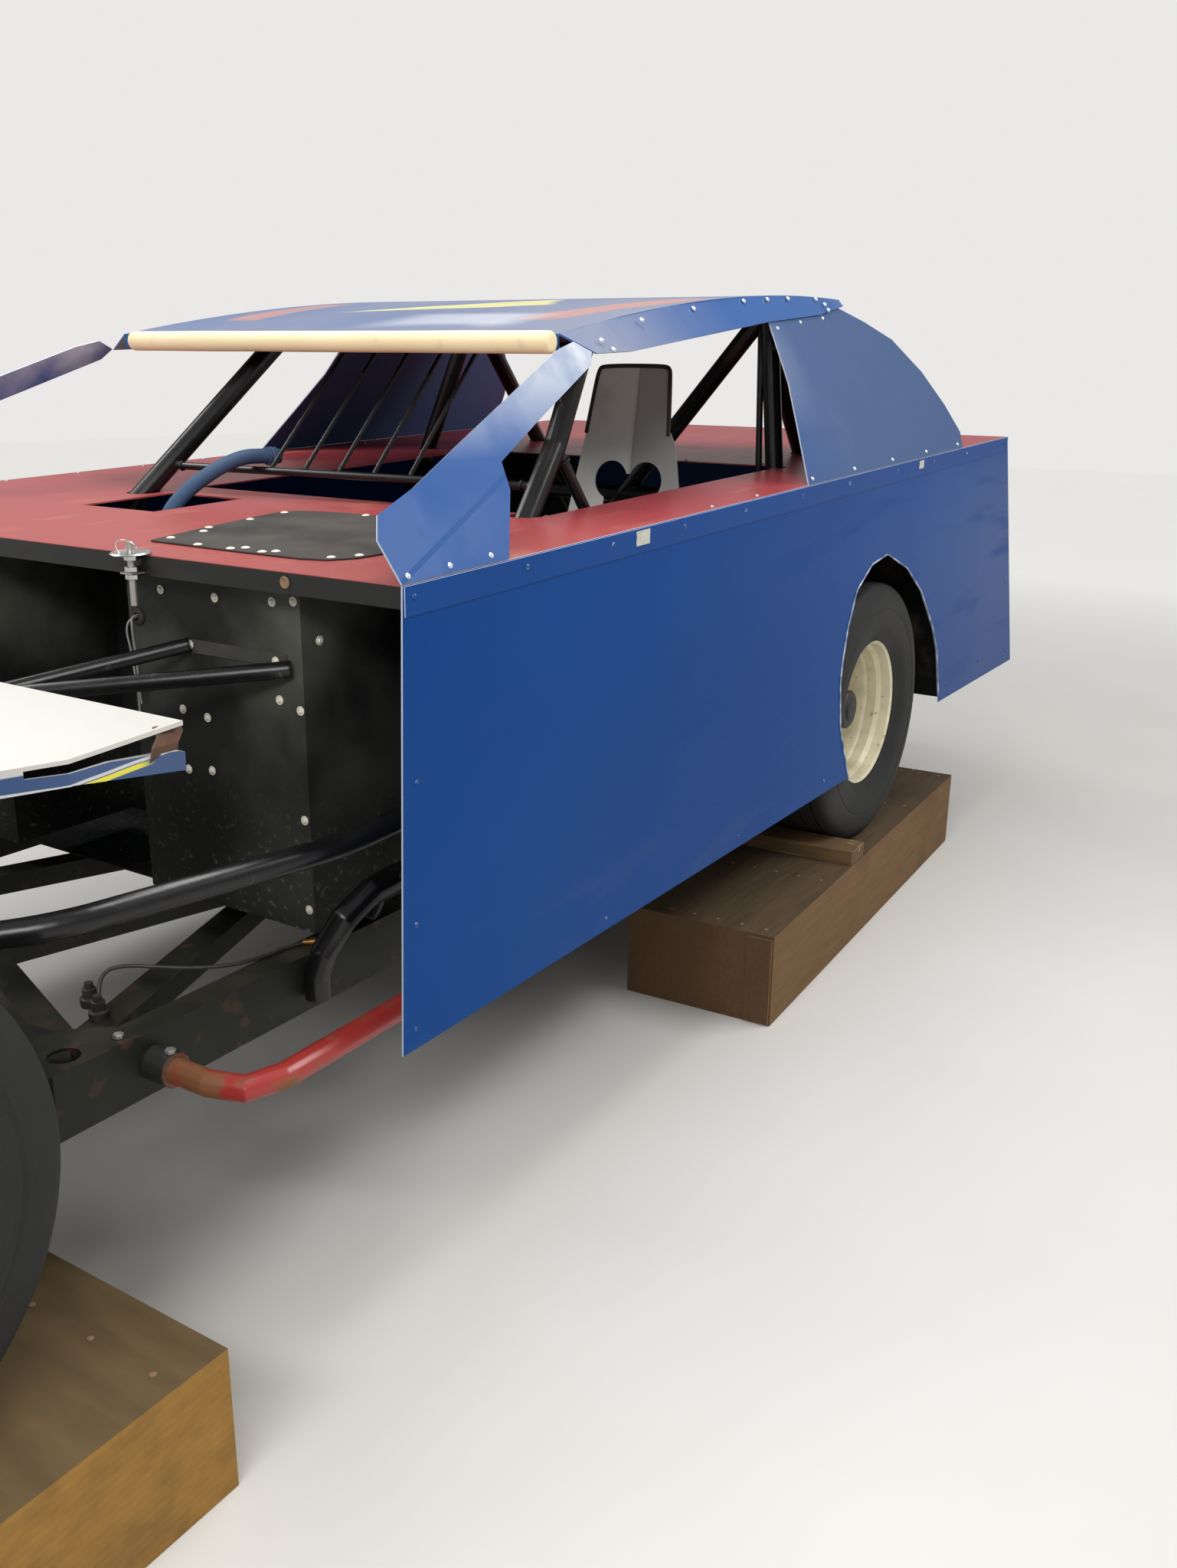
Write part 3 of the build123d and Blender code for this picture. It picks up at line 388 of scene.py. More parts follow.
def repeated(pattern, places, name, material, body="chassis"):
    """Copies of one small piece, each facing its own way at its own place, joined into one piece."""
    copies = []
    for place, out in places:
        copy = pattern.copy()
        copy.data = pattern.data.copy()
        bpy.context.scene.collection.objects.link(copy)
        copies.append(set_down(faced(copy, place, out)))
    bpy.data.objects.remove(pattern)
    return settled(joined(copies), name, material, body)


straight_up = (0, 0, 1)
brass = mottled("brass", 50, 6, (0.42, 0.2, 0.055), (0.24, 0.105, 0.03), (0.3, 0.2), 0.0002, 0.3,
                Metallic=0.7)
fitting = turned([(0, 0), (0, 4.8), (12, 4.8), (12.5, 6.6), (22, 6.6), (22.5, 5.2), (52, 5.2),
                  (52.5, 6.2), (60, 6.2), (60, 0)], 12)
settled(faced(fitting, (0.526, -0.668, 0.506), (0.8, 0.59, 0.05)), "brake_fitting", brass)
union = turned([(0, 0), (0, 15), (8, 16), (14, 16), (16, 11), (30, 11), (31, 7), (40, 7), (40, 0)], 20)
repeated(union, [((0.394, -0.982, 0.459), straight_up), ((0.345, -0.96, 0.459), straight_up)],
         "brake_unions", pipe_grey)


# The roll cage and the bumpers: round steel tube, bent and welded, in gloss black with long
# streaks of light along it and a film of dust on its upper side.
paint = Shade("cage_black")
film = paint.noise(14, 6)
dusty = paint.faces_up() * paint.step(film, 0.3, 0.8)
black = paint.layered(dusty * 0.2, (0.005, 0.005, 0.006), (0.05, 0.047, 0.04),
                      (paint.patches(40, 8, 0.66, 0.7) * 0.4, (0.1, 0.095, 0.09)))
cage_black = paint.finish(black, 0.14 + 0.24 * film, film, 0.0003, 0.15, 0.45, blend=0.007)
coat(cage_black, "roll_cage", "front_bumper", "rear_bumper")


# Engine bay bars: a side bar that runs from the front leg of the cage out round the foot box and
# forward to the clip, and three thin struts that meet over the empty bay on each side.
def rounded(corners, reach=0.06, steps=6):
    """Path through corners, each eased into a curve that starts a given way before it."""
    corners = [Vector(corner) for corner in corners]
    path = [corners[0]]
    for before, corner, after in zip(corners, corners[1:], corners[2:]):
        room = min(reach, 0.45 * (before - corner).length, 0.45 * (after - corner).length)
        start = corner + (before - corner).normalized() * room
        end = corner + (after - corner).normalized() * room
        for step in range(steps + 1):
            share = step / steps
            path.append(start * (1 - share) ** 2 + corner * 2 * share * (1 - share) + end * share ** 2)
    return path + [corners[-1]]


meeting = (0.13, -0.96, 0.93)
bar_runs = [
    (0.0195, [(0.56, -0.33, 0.78), (0.742, -0.61, 0.768), (0.706, -0.75, 0.741), (0.6, -1.18, 0.733),
              (0.3845, -1.385, 0.705), (0.3545, -1.56, 0.69), (0.3545, -1.56, 0.621)]),
    (0.0125, [(0.335, -0.697, 0.997), (0.32, -0.716, 0.992), meeting]),
    (0.014, [(0.56, -0.697, 0.985), (0.545, -0.712, 0.983), meeting]),
    (0.014, [meeting, (0.3225, -1.757, 0.6225)]),
]
bay_bars = []
for side in (-1, 1):
    for radius, corners in bar_runs:
        path = rounded([(side * x, y, z) for x, y, z in corners])
        bay_bars.append(rod(path, radius, "bay_bar", cage_black, order=2))
bay_bars = settled(joined(bay_bars), "bay_bars", cage_black)
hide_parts("engine_bay_bars")

# Welds: the rolled beads where a smaller bar stops on a bigger one, left as laid and painted over
# in gloss black.
bead = turned([(-3, 8.5), (-1, 11.2), (2, 10.8), (3, 8.5), (0, 7.5)], 20, 60)
beads = []
for share in (0.035, 0.965):
    beads.append(((-0.334 + 0.9095 * share, -0.128 + 0.078 * share, 1.222), (0.9963, 0.0854, 0)))
repeated(bead, beads, "dash_bar_welds", cage_black)
bead = turned([(-4, 12), (-1, 16.5), (3, 15.5), (4, 12), (0, 11)], 24, 60)
beads = [((0.572, 0.0425, 1.264), (0.169, 0.564, -0.954)), ((0.6325, 0.242, 0.926), (-0.169, -0.564, 0.954))]
repeated(bead, beads, "door_strut_welds", cage_black)


# Body sides: large flat sheets of aluminium in gloss blue, a little wavy in the light, scuffed low
# down and streaked at the tail, with cut edges of bare metal.
paint = Shade("body_blue")
sheen = paint.noise(0.9, 3)
smear = paint.patches(7, 8, 0.55, 0.8, (1, 0.35, 2.2))
low = paint.below(paint.part("Z"), 0.45, 0.7)
rear = paint.step(paint.part("Y"), 0.5, 1.7)
streak = paint.patches(1.6, 2, 0.46, 0.78, (1, 1, 0.3))
cut = paint.below(paint.facing("X").size(), 0.25, 0.45)
blue = paint.layered(sheen, (0.001, 0.036, 0.18), (0.003, 0.062, 0.262),
                     (streak * (0.05 + rear * 0.14), (0.09, 0.13, 0.24)),
                     (smear * low * 0.25 + smear * 0.03, (0.1, 0.13, 0.2)),
                     (cut * 0.8, (0.52, 0.55, 0.6)))
blue = paint.finish(blue, 0.22 + 0.2 * smear + 0.12 * sheen, paint.noise(2.2, 2), 0.004, 0.3, 0.06)
coat(blue, "side_panel_left", "side_panel_right")

# Seam strips: the folded top edge of each side, a separate strip of thin sheet riveted on over the
# panel, whose lower edge catches the light; its edges are painted pale grey-blue as a highlight.
side_face = 0.838
deck_slope = 0.0358
deck_out = (0, -deck_slope, 1)


def deck_height(y):
    return 1.147 + (y + 0.755) * deck_slope


def block(place, size, turn=(0, 0, 0)):
    """Squared piece of a given size. Its place is put into its mesh unless it is turned."""
    deselect()
    bpy.ops.mesh.primitive_cube_add(size=1, location=place, rotation=turn)
    piece = bpy.context.object
    piece.scale = size
    bpy.ops.object.transform_apply(location=not any(turn), rotation=False, scale=True)
    return piece


def modified(piece, kind, **settings):
    """Add a modifier to the active piece, set it and apply it."""
    bpy.ops.object.modifier_add(type=kind)
    modifier = piece.modifiers[-1]
    for key, value in settings.items():
        setattr(modifier, key, value)
    bpy.ops.object.modifier_apply(modifier=modifier.name)
    return piece


paint = Shade("strip_blue")
sheen = paint.noise(2, 4)
# Painted highlight: faces that don't look sideways, the strip's top, bottom and ends, turn pale grey-blue.
painted_edge_highlight = paint.below(paint.facing("X").size(), 0.3, 0.6)
blue = paint.layered(sheen, (0.005, 0.042, 0.19), (0.01, 0.066, 0.26),
                     (painted_edge_highlight * 0.9, (0.55, 0.62, 0.72)))
strips = []
for side in (-1, 1):
    strip = block((side * (side_face + 0.0012), 0.685, 0), (0.0022, 2.876, 0.0432))
    for corner in strip.data.vertices:
        corner.co.z += deck_height(corner.co.y) - 0.0228
    strips.append(modified(strip, "BEVEL", width=0.0007, segments=2))
settled(joined(strips), "side_seam_strips", paint.finish(blue, 0.26 + 0.2 * sheen, sheen, 0.0004, 0.2, 0.08))


# Strip rivets: domed blind rivets through each seam strip into the panel under it, painted with
# the panel and worn on the crown.
def dome(radius, height):
    """Domed rivet head with a small pin hole in its crown, in millimetres."""
    return turned([(-0.8, 0), (-0.8, radius), (0.3, radius), (height * 0.6, radius * 0.78),
                   (height, radius * 0.34), (height * 0.8, radius * 0.25), (height * 0.55, 0)], 16, 60)


def both_sides(places):
    """Places and the ways they face, each with its mirror image on the other side of the car."""
    pairs = []
    for (x, y, z), (out_x, out_y, out_z) in places:
        for side in (-1, 1):
            pairs.append(((side * x, y, z), (side * out_x, out_y, out_z)))
    return pairs


outward = (1, 0, 0)
rivet_blue = mottled("rivet_blue", 160, 3, (0.01, 0.055, 0.22), (0.22, 0.274, 0.4), (0.25, 0.2),
                     0.0001, 0.2, (0.5, 0.6), Metallic=0.3)
strip_rivets = [((side_face + 0.0022, y, deck_height(y) - 0.0175), outward) for y in (
    -0.733, -0.458, -0.202, 0.05, 0.305, 0.58, 0.85, 1.165, 1.44, 1.72, 1.98, 2.095)]
repeated(dome(5.2, 3), both_sides(strip_rivets), "seam_strip_rivets", rivet_blue)

# Tape: two pieces of dusty white cloth tape stuck over the left seam strip by hand, a little
# uneven along their torn ends.
cloth = Shade("tape_white")
weave = cloth.noise(500, 2)
white = cloth.mix(cloth.noise(60, 6), (0.62, 0.6, 0.52), (0.36, 0.35, 0.31))
ragged = random.Random(4)
tapes = []
for y, z, length, height in ((-0.103, 1.1525, 0.046, 0.026), (1.342, 1.206, 0.034, 0.02)):
    deselect()
    bpy.ops.mesh.primitive_grid_add(x_subdivisions=8, y_subdivisions=8, size=1,
                                    location=(side_face + 0.0027, y, z),
                                    rotation=(0, math.radians(90), 0))
    tape = bpy.context.object
    tape.scale = (height, length, 1)
    set_down(tape)
    for corner in tape.data.vertices:
        corner.co.x += 0.0003 + 0.0004 * ragged.random()
        corner.co.y += 0.0016 * (ragged.random() - 0.5)
        corner.co.z += (corner.co.y - y) * deck_slope
    tapes.append(modified(tape, "SOLIDIFY", thickness=0.0005))
settled(joined(tapes), "cloth_tape", cloth.finish(white, 0.7 + 0.2 * weave, weave, 0.0003, 0.5))

# Arch lips: the cut edge of each wheel opening is rolled outward into a thin bead, where the paint
# is rubbed off to bright metal.
arch_edge = [(0.988, 0.43), (0.904, 0.586), (0.883, 0.705), (0.888, 0.758), (0.908, 0.838), (0.95, 0.925),
             (1.04, 0.978), (1.145, 0.993), (1.306, 0.938), (1.434, 0.861), (1.563, 0.739), (1.617, 0.664),
             (1.671, 0.519)]
edge_metal = mottled("edge_metal", 30, 6, (0.1, 0.16, 0.3), (0.52, 0.57, 0.66), (0.3, 0.2), 0.0002, 0.2,
                     (0.4, 0.6), Metallic=0.3)
for name, side in (("arch_lip_right", -1), ("arch_lip_left", 1)):
    line = [(side * (side_face + 0.0008), y, z) for y, z in arch_edge]
    rod(line, 0.0022, name, edge_metal, order=2)

# Panel rivets: smaller domed rivets along the foot and tail of each side panel, where brackets
# behind it take hold, painted over in the same blue.
foot_rivets = [((side_face + 0.0002, y, z), outward) for y, z in (
    (-0.735, 0.86), (-0.745, 0.64), (-0.752, 0.47), (-0.2, 0.462), (0.35, 0.462), (0.82, 0.47),
    (1.74, 0.54), (2.05, 0.56), (2.36, 0.54), (2.26, 0.8), (2.16, 1.02))]
repeated(dome(4.6, 2.4), both_sides(foot_rivets), "side_panel_rivets", rivet_blue)


# The deck round the cockpit: thin sheet painted red, walked on and leaned on, with dull scratches
# and pale dust. Its front edge is folded down into a flange, sprayed black, with two pin tabs.
paint = Shade("deck_red")
dust = paint.patches(5, 8, 0.55, 0.85)
scratch = paint.patches(26, 10, 0.62, 0.74, (1, 0.1, 1))
along = paint.part("Y")
ahead = paint.below(along, -0.45, 0.1)
edge = paint.below(along, -0.7556, -0.7552)
flange = paint.below(along, -0.7515, -0.7512) * paint.below(paint.part("Z"), 1.1455, 1.1462)
under = paint.below(paint.facing("Z"), -0.6, -0.4)
red = paint.layered(paint.noise(2, 6), (0.26, 0.022, 0.036), (0.38, 0.058, 0.062),
                    (dust * (0.2 + 0.2 * ahead) + scratch * 0.3 + ahead * 0.1, (0.5, 0.29, 0.18)),
                    (flange, paint.mix(dust, (0.008, 0.008, 0.007), (0.05, 0.046, 0.038))),
                    (under, (0.12, 0.11, 0.1)),
                    (edge, (0.42, 0.4, 0.36)))
coat(paint.finish(red, 0.34 + 0.3 * dust, dust, 0.0006, 0.35, 0.4, Metallic=edge * 0.8),
     "front_deck", "rear_deck")

# Deck rivets: small domed heads of plain metal along the edges of the deck sheets and across its
# middle joint behind the cockpit.
deck_rivets = []
for y in (-0.6, -0.4, -0.2, 0, 0.2, 0.4, 0.6, 0.8, 1.1, 1.4, 1.7, 2):
    for side in (-1, 1):
        if side < 0 or y < -0.45 or 0.15 < y < 0.5:
            deck_rivets.append(((side * 0.818, y, deck_height(y) + 0.0004), deck_out))
for number in range(8):
    deck_rivets.append(((-0.77 + 0.22 * number, 0.992, deck_height(0.992) + 0.0004), deck_out))
rivet_grey = mottled("rivet_grey", 120, 4, (0.3, 0.29, 0.27), (0.5, 0.49, 0.46), (0.3, 0.3), 0.0001, 0.2,
                     Metallic=0.7)
repeated(dome(4.8, 2.8), deck_rivets, "deck_rivets", rivet_grey)

# Deck patch: a sheet of black rubber laid in front of the cockpit and riveted down round its edge
# with wide pale heads, scuffed grey where things are put down on it.
rubber = Shade("mat_black")
chalk = rubber.noise(7, 8)
black = rubber.mix(rubber.step(chalk, 0.35, 0.75), (0.022, 0.02, 0.019), (0.07, 0.062, 0.054))
mat_black = rubber.finish(black, 0.7 + 0.2 * chalk, rubber.noise(300, 2), 0.0005, 0.5, 0.3)
mat_outline = [(0.217, -0.661), (0.329, -0.664), (0.425, -0.667), (0.558, -0.667), (0.606, -0.655),
               (0.634, -0.619), (0.642, -0.567), (0.64, -0.46), (0.62, -0.35), (0.56, -0.262), (0.44, -0.24),
               (0.257, -0.243), (0.17, -0.262), (0.15, -0.3), (0.167, -0.423), (0.191, -0.547)]
deselect()
bpy.ops.mesh.primitive_circle_add(vertices=len(mat_outline), radius=1, fill_type="NGON")
mat = bpy.context.object
for corner, (x, y) in zip(mat.data.vertices, mat_outline):
    corner.co = (x, y, deck_height(y) + 0.0006)
open_whole()
bpy.ops.mesh.normals_make_consistent(inside=False)
bpy.ops.mesh.extrude_region_move(TRANSFORM_OT_translate={"value": (0, 0, 0.0028)})
close_outward()
settled(modified(mat, "BEVEL", width=0.0009), "deck_mat", mat_black)
mat_rivets = [((x, y, deck_height(y) + 0.0037), deck_out) for x, y in (
    (0.229, -0.628), (0.325, -0.656), (0.402, -0.658), (0.417, -0.64), (0.47, -0.656), (0.486, -0.642),
    (0.601, -0.64), (0.626, -0.604), (0.22, -0.548), (0.193, -0.511), (0.18, -0.4), (0.168, -0.3),
    (0.63, -0.48), (0.6, -0.33), (0.48, -0.252), (0.33, -0.253))]
head_pale = mottled("head_pale", 90, 5, (0.8, 0.77, 0.66), (0.5, 0.47, 0.38), (0.4, 0.3), 0.0002, 0.3,
                    Metallic=0.15)
repeated(dome(7.5, 2.2), mat_rivets, "mat_rivets", head_pale)


# Hood pins: two threaded steel pins that stand through tabs of the flange, each with a dished
# chrome scuff plate on its tab, three nuts under it and a wire clip through its top.
pin_x = 0.297
pin_y = -0.768
chrome = mottled("chrome", 40, 6, (0.66, 0.66, 0.66), (0.38, 0.35, 0.3), (0.14, 0.3), 0.0001, 0.2,
                 (0.5, 0.8), Metallic=1)
plate = turned([(0, 7.2), (0, 22), (2.4, 29.5), (1, 31.5), (2.2, 32.2), (4, 30), (1.6, 21.5), (2, 7.2)],
               40, 40)
repeated(plate, both_sides([((pin_x, pin_y, 1.1475), deck_out)]), "hood_pin_plates", chrome)
nut = turned([(0, 6.6), (0, 10.5), (0.8, 11.2), (7.2, 11.2), (8, 10.5), (8, 6.6)], 6, 20)
nuts = both_sides([((pin_x, pin_y, z), straight_up) for z in (1.1205, 1.1085, 1.138)])
repeated(nut, nuts, "hood_pin_nuts", chrome)
clip = [(-0.01, -0.768, 1.1585), (0.012, -0.768, 1.1585), (0.018, -0.77, 1.1605), (0.016, -0.776, 1.168),
        (-0.002, -0.78, 1.172), (-0.022, -0.779, 1.166), (-0.027, -0.774, 1.156), (-0.02, -0.773, 1.148)]
for number, middle in enumerate((-pin_x, pin_x)):
    rod([(middle + x, y, z) for x, y, z in clip], 0.0011, "hood_pin_clip_%d" % number, chrome)

# Flange plugs: a domed steel plug pressed into a spare hole at each end of the flange, rusty all
# over and dished in the middle.
ahead_out = (0, -1, 0)
plug_rust = mottled("plug_rust", 90, 8, (0.2, 0.1, 0.045), (0.3, 0.21, 0.13), (0.6, 0.3), 0.0006, 0.6,
                    Metallic=0.3)
plug = turned([(-1, 0), (-1, 9), (2, 9.2), (3.2, 7.8), (2.2, 6), (1.8, 0)], 24)
repeated(plug, both_sides([((0.616, -0.7552, 1.1315), ahead_out)]), "flange_plugs", plug_rust)


# Foot boxes and floor: black satin sheet with a pebbly sprayed skin, smudged grey by hands and
# splashed near the bottom.
paint = Shade("sheet_black")
smudge = paint.noise(4, 8)
height = paint.part("Z")
handled = paint.step(smudge, 0.42, 0.7) * (0.3 + 0.7 * paint.step(height, 0.7, 1.05))
spray = paint.patches(90, 8, 0.6, 0.72) * paint.below(height, 0.6, 0.8)
black = paint.layered(handled, (0.008, 0.009, 0.008), (0.082, 0.084, 0.068),
                      (spray * 0.8, (0.13, 0.125, 0.105)))
coat(paint.finish(black, 0.42 + 0.35 * smudge, paint.noise(260, 2), 0.0006, 0.35, 0.3),
     "firewall", "floor_pan")

# Foot box screws: pale dished washers with a domed screw in each, along the seams of the front
# faces and, higher by the strap's thickness, where the strap crosses.
box_face = -0.6952
strap_heads = (0.997, 0.993)
screw_and_washer = turned([(0, 0), (0, 7.4), (1.2, 7.8), (2, 7.1), (1.4, 5.2), (1.6, 4.6), (3.4, 4),
                           (4.4, 2.4), (3.6, 1), (3.4, 0)], 24, 40)
washers = []
for x, z in ((0.274, 1.081), (0.4, 1.08), (0.526, 1.086), (0.571, 1.091), (0.337, 0.997), (0.529, 0.993),
             (0.306, 0.884), (0.364, 0.878), (0.531, 0.931), (0.575, 0.92), (0.366, 0.787), (0.309, 0.78),
             (0.572, 0.739), (0.572, 0.585)):
    strap = 0.002 if z in strap_heads else 0
    washers.append(((x, box_face - strap, z), ahead_out))
washers.append(((0.5832, -0.656, 1.026), outward))
repeated(screw_and_washer, both_sides(washers), "foot_box_screws", head_pale)

# Straps: the flattened end of the upper strut, a worn steel strip across each foot box that its
# two screws hold.
strap_steel = mottled("strap_steel", 30, 8, (0.022, 0.022, 0.02), (0.075, 0.073, 0.066), (0.35, 0.3),
                      0.0004, 0.3, gloss=0.4)
straps = []
for side in (-1, 1):
    strap = block((side * 0.433, box_face - 0.001, 0.995), (0.236, 0.0022, 0.023))
    straps.append(modified(strap, "BEVEL", width=0.0008))
settled(joined(straps), "foot_box_straps", strap_steel)

# Wire grommet: a rubber ring high on the driver's foot box with two grey wires that come out of it
# and hang beside the inner edge.
wire_grey = mottled("wire_grey", 80, 4, (0.2, 0.2, 0.19), (0.34, 0.34, 0.32), (0.5, 0.2), 0.0001, 0.2)
ring = turned([(0, 6), (0, 14), (3, 15), (6, 12), (6, 7), (3, 6)], 24)
repeated(ring, [((0.214, box_face, 1.03), ahead_out)], "wire_grommet", mat_black)
wires = [
    [(0.214, -0.694, 1.03), (0.212, -0.712, 1.03), (0.204, -0.716, 1.01), (0.2, -0.706, 0.975),
     (0.199, -0.702, 0.94), (0.203, -0.701, 0.9), (0.201, -0.699, 0.862)],
    [(0.216, -0.694, 1.032), (0.219, -0.714, 1.036), (0.222, -0.718, 1.018), (0.211, -0.707, 0.985),
     (0.208, -0.702, 0.95), (0.206, -0.701, 0.905), (0.207, -0.699, 0.88)],
]
for number, wire in enumerate(wires):
    rod(wire, 0.0017, "grey_wire_%d" % number, wire_grey)


# Roof: one blue sheet with its sides folded down, streaked by old coloured flashes on its top, black
# inside and riveted along the fold. Its top is washed grey, more in patches, partly bleached paint and
# partly painted reflection, with a pale patch of painted glare from the ceiling lamps behind the pad.
paint = Shade("roof_blue")
sheen = paint.noise(1.1, 3)
across = paint.part("X")
along = paint.part("Y")
up_side = paint.step(paint.facing("Z"), 0.6, 0.8)
# The grey wash on the top faces, heavier in these patches, is partly bleached paint and partly painted
# reflection.
bleach_and_reflection = paint.patches(1.7, 6, 0.3, 0.75, (1, 0.5, 1))
sweep = paint.noise(3, 2) * 0.12 - 0.06
flash = paint.band(across.size() - along * 0.25 + sweep, 0.33, 0.41, 0.02)
flash = flash * paint.band(along + sweep, 0.2, 0.62, 0.04)
slanted = along - across * 0.3 + sweep
wedge = paint.step(slanted, 0.41, 0.43) * paint.below(slanted - (across + 0.24) * 0.7, 0.41, 0.44)
wedge = wedge * paint.below(across + slanted * 0.5, 0.44, 0.47)
# Painted glare: a pale patch on the top just behind the pad stands in for a reflection of the ceiling lamps.
wear_and_painted_glare = paint.band(across + sweep, 0.1, 0.34, 0.1) * paint.band(along + sweep, 0.12, 0.26, 0.06)
inside = paint.below(paint.facing("Z"), -0.75, -0.55)
blue = paint.layered(sheen, (0.01, 0.06, 0.215), (0.022, 0.095, 0.3),
                     (up_side * (0.18 + 0.4 * bleach_and_reflection), (0.34, 0.33, 0.33)),
                     (up_side * flash * 0.6, (0.56, 0.22, 0.12)),
                     (up_side * wedge * 0.75, (0.72, 0.68, 0.22)),
                     (up_side * wear_and_painted_glare * (0.25 + 0.35 * bleach_and_reflection), (0.7, 0.72, 0.76)),
                     (inside, (0.012, 0.012, 0.014)))
coat(paint.finish(blue, 0.2 + 0.15 * sheen, sheen, 0.003, 0.25, 0.4), "roof")
skirt_rivets = [(place, (0.83, 0, 0.55)) for place in (
    (0.625, 0.244, 1.528), (0.611, 0.483, 1.559), (0.607, 0.727, 1.585), (0.607, 0.85, 1.594),
    (0.607, 0.964, 1.601), (0.608, 1.128, 1.607), (0.617, 1.165, 1.596), (0.626, 1.168, 1.583),
    (0.647, 0.06, 1.486), (0.664, 0.075, 1.47))]
rivet_bright = mottled("rivet_bright", 120, 4, (0.55, 0.57, 0.62), (0.78, 0.8, 0.84), (0.25, 0.2),
                       0.0001, 0.2, Metallic=0.6)
repeated(dome(5.8, 3.4), both_sides(skirt_rivets), "roof_skirt_rivets", rivet_bright)


# Roof pad: a long cream foam roll glued along the front edge of the roof, soft, a little dented,
# with rounded ends and a moulded seam underneath.
foam = Shade("pad_cream")
stain = foam.noise(3, 8)
cream = foam.layered(stain, (0.8, 0.66, 0.38), (0.88, 0.78, 0.52),
                     (foam.patches(18, 8, 0.62, 0.72) * 0.3, (0.52, 0.44, 0.3)))
pad_cream = foam.finish(cream, 0.7 + 0.15 * stain, foam.noise(420, 3), 0.0005, 0.3, 0.3)
low_corner, high_corner = [Vector(corner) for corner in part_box("roof_pad")]
pad_length = high_corner.x - low_corner.x
pad_rings = 28
deselect()
bpy.ops.mesh.primitive_cylinder_add(vertices=32, radius=(high_corner.z - low_corner.z) / 2, depth=pad_length,
                                    location=(low_corner + high_corner) / 2,
                                    rotation=(0, math.radians(90), 0))
roll = bpy.context.object
bpy.ops.object.transform_apply(location=False, rotation=True, scale=True)
for ring in range(1, pad_rings):
    open_whole()
    cut_x = low_corner.x + pad_length * ring / pad_rings
    bpy.ops.mesh.bisect(plane_co=(cut_x, 0, 0), plane_no=(1, 0, 0))
    bpy.ops.object.mode_set(mode="OBJECT")
dents = random.Random(11)
phases = [dents.uniform(0, 6.28) for number in range(6)]
for corner in roll.data.vertices:
    along = corner.co.x
    sag = sum(math.sin(along * (9 + 7 * number) + phase) for number, phase in enumerate(phases)) / 6
    turn = math.atan2(corner.co.z, corner.co.y)
    seam = math.exp(-((turn + 1.57) / 0.16) ** 2)
    shrink = 1 - 0.035 - 0.03 * sag * math.sin(turn * 2 + along * 5) - 0.09 * seam
    corner.co.y *= shrink
    corner.co.z *= shrink
modified(roll, "BEVEL", width=0.01, segments=4, limit_method="ANGLE", angle_limit=math.radians(60))
modified(roll, "SUBSURF", levels=1, render_levels=1)
bpy.ops.object.shade_smooth()
settled(roll, "roof_pad_roll", pad_cream)
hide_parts("roof_pad")


# Window post and sail panels: leaning blue sheets between the body side and the roof, the post
# panel creased from its foot, both with pale cut edges and rivets along the joints.
paint = Shade("panel_blue")
along = paint.part("Y")
height = paint.part("Z")
rear = paint.step(along, 0, 0.9)
crease = paint.step((height - 1.157) - (along + 0.737) * 0.36, -0.004, 0.004) * (1 - rear)
shine = paint.step(height, 1.3, 1.46) * (1 - rear) * paint.patches(4, 6, 0.3, 0.52)
cut = paint.below(paint.facing("X").size(), 0.55, 0.7)
haze = paint.patches(9, 8, 0.5, 0.8)
blue = paint.layered(paint.noise(1.4, 3), (0.006, 0.055, 0.215), (0.012, 0.082, 0.29),
                     (rear * 0.7, (0.07, 0.098, 0.17)),
                     (shine * 0.8, (0.62, 0.65, 0.68)),
                     (cut * 0.8, (0.52, 0.56, 0.62)),
                     (haze * 0.08, (0.16, 0.22, 0.32)))
coat(paint.finish(blue, 0.34 + 0.18 * haze + 0.1 * rear, crease, 0.0015, 0.5, 0.12),
     "post_panel_left", "post_panel_right", "sail_panel_left", "sail_panel_right")
panel_lean = 0.61
panel_rivets = []
for y, z in ((-0.735, 1.158), (-0.64, 1.162), (-0.54, 1.166), (0.655, 1.209), (0.9, 1.218), (1.15, 1.227),
             (1.4, 1.236), (1.66, 1.245), (0.845, 1.53), (0.99, 1.548), (1.135, 1.562)):
    x = side_face - 0.0005 - panel_lean * (z - deck_height(y) - 0.0003)
    panel_rivets.append(((x, y, z), (0.854, 0, 0.52)))
repeated(dome(5, 3), both_sides(panel_rivets), "leaning_panel_rivets", rivet_bright)


# Tail panel: a plain blue sheet across the tail, with a splash sheet behind each rear wheel that is
# sprayed black and caked with dried mud.
paint = Shade("tail_blue")
mud = paint.noise(14, 8)
caked = paint.mix(paint.step(mud, 0.5, 0.7), (0.006, 0.006, 0.006), (0.05, 0.04, 0.028))
blue = paint.mix(paint.noise(1.4, 3), (0.01, 0.06, 0.22), (0.018, 0.085, 0.29))
blue = paint.mix(paint.step(paint.part("Y"), 1.9, 1.95), caked, blue)
coat(paint.finish(blue, 0.4 + 0.4 * mud, mud, 0.001, 0.3, 0.2), "tail_panel")


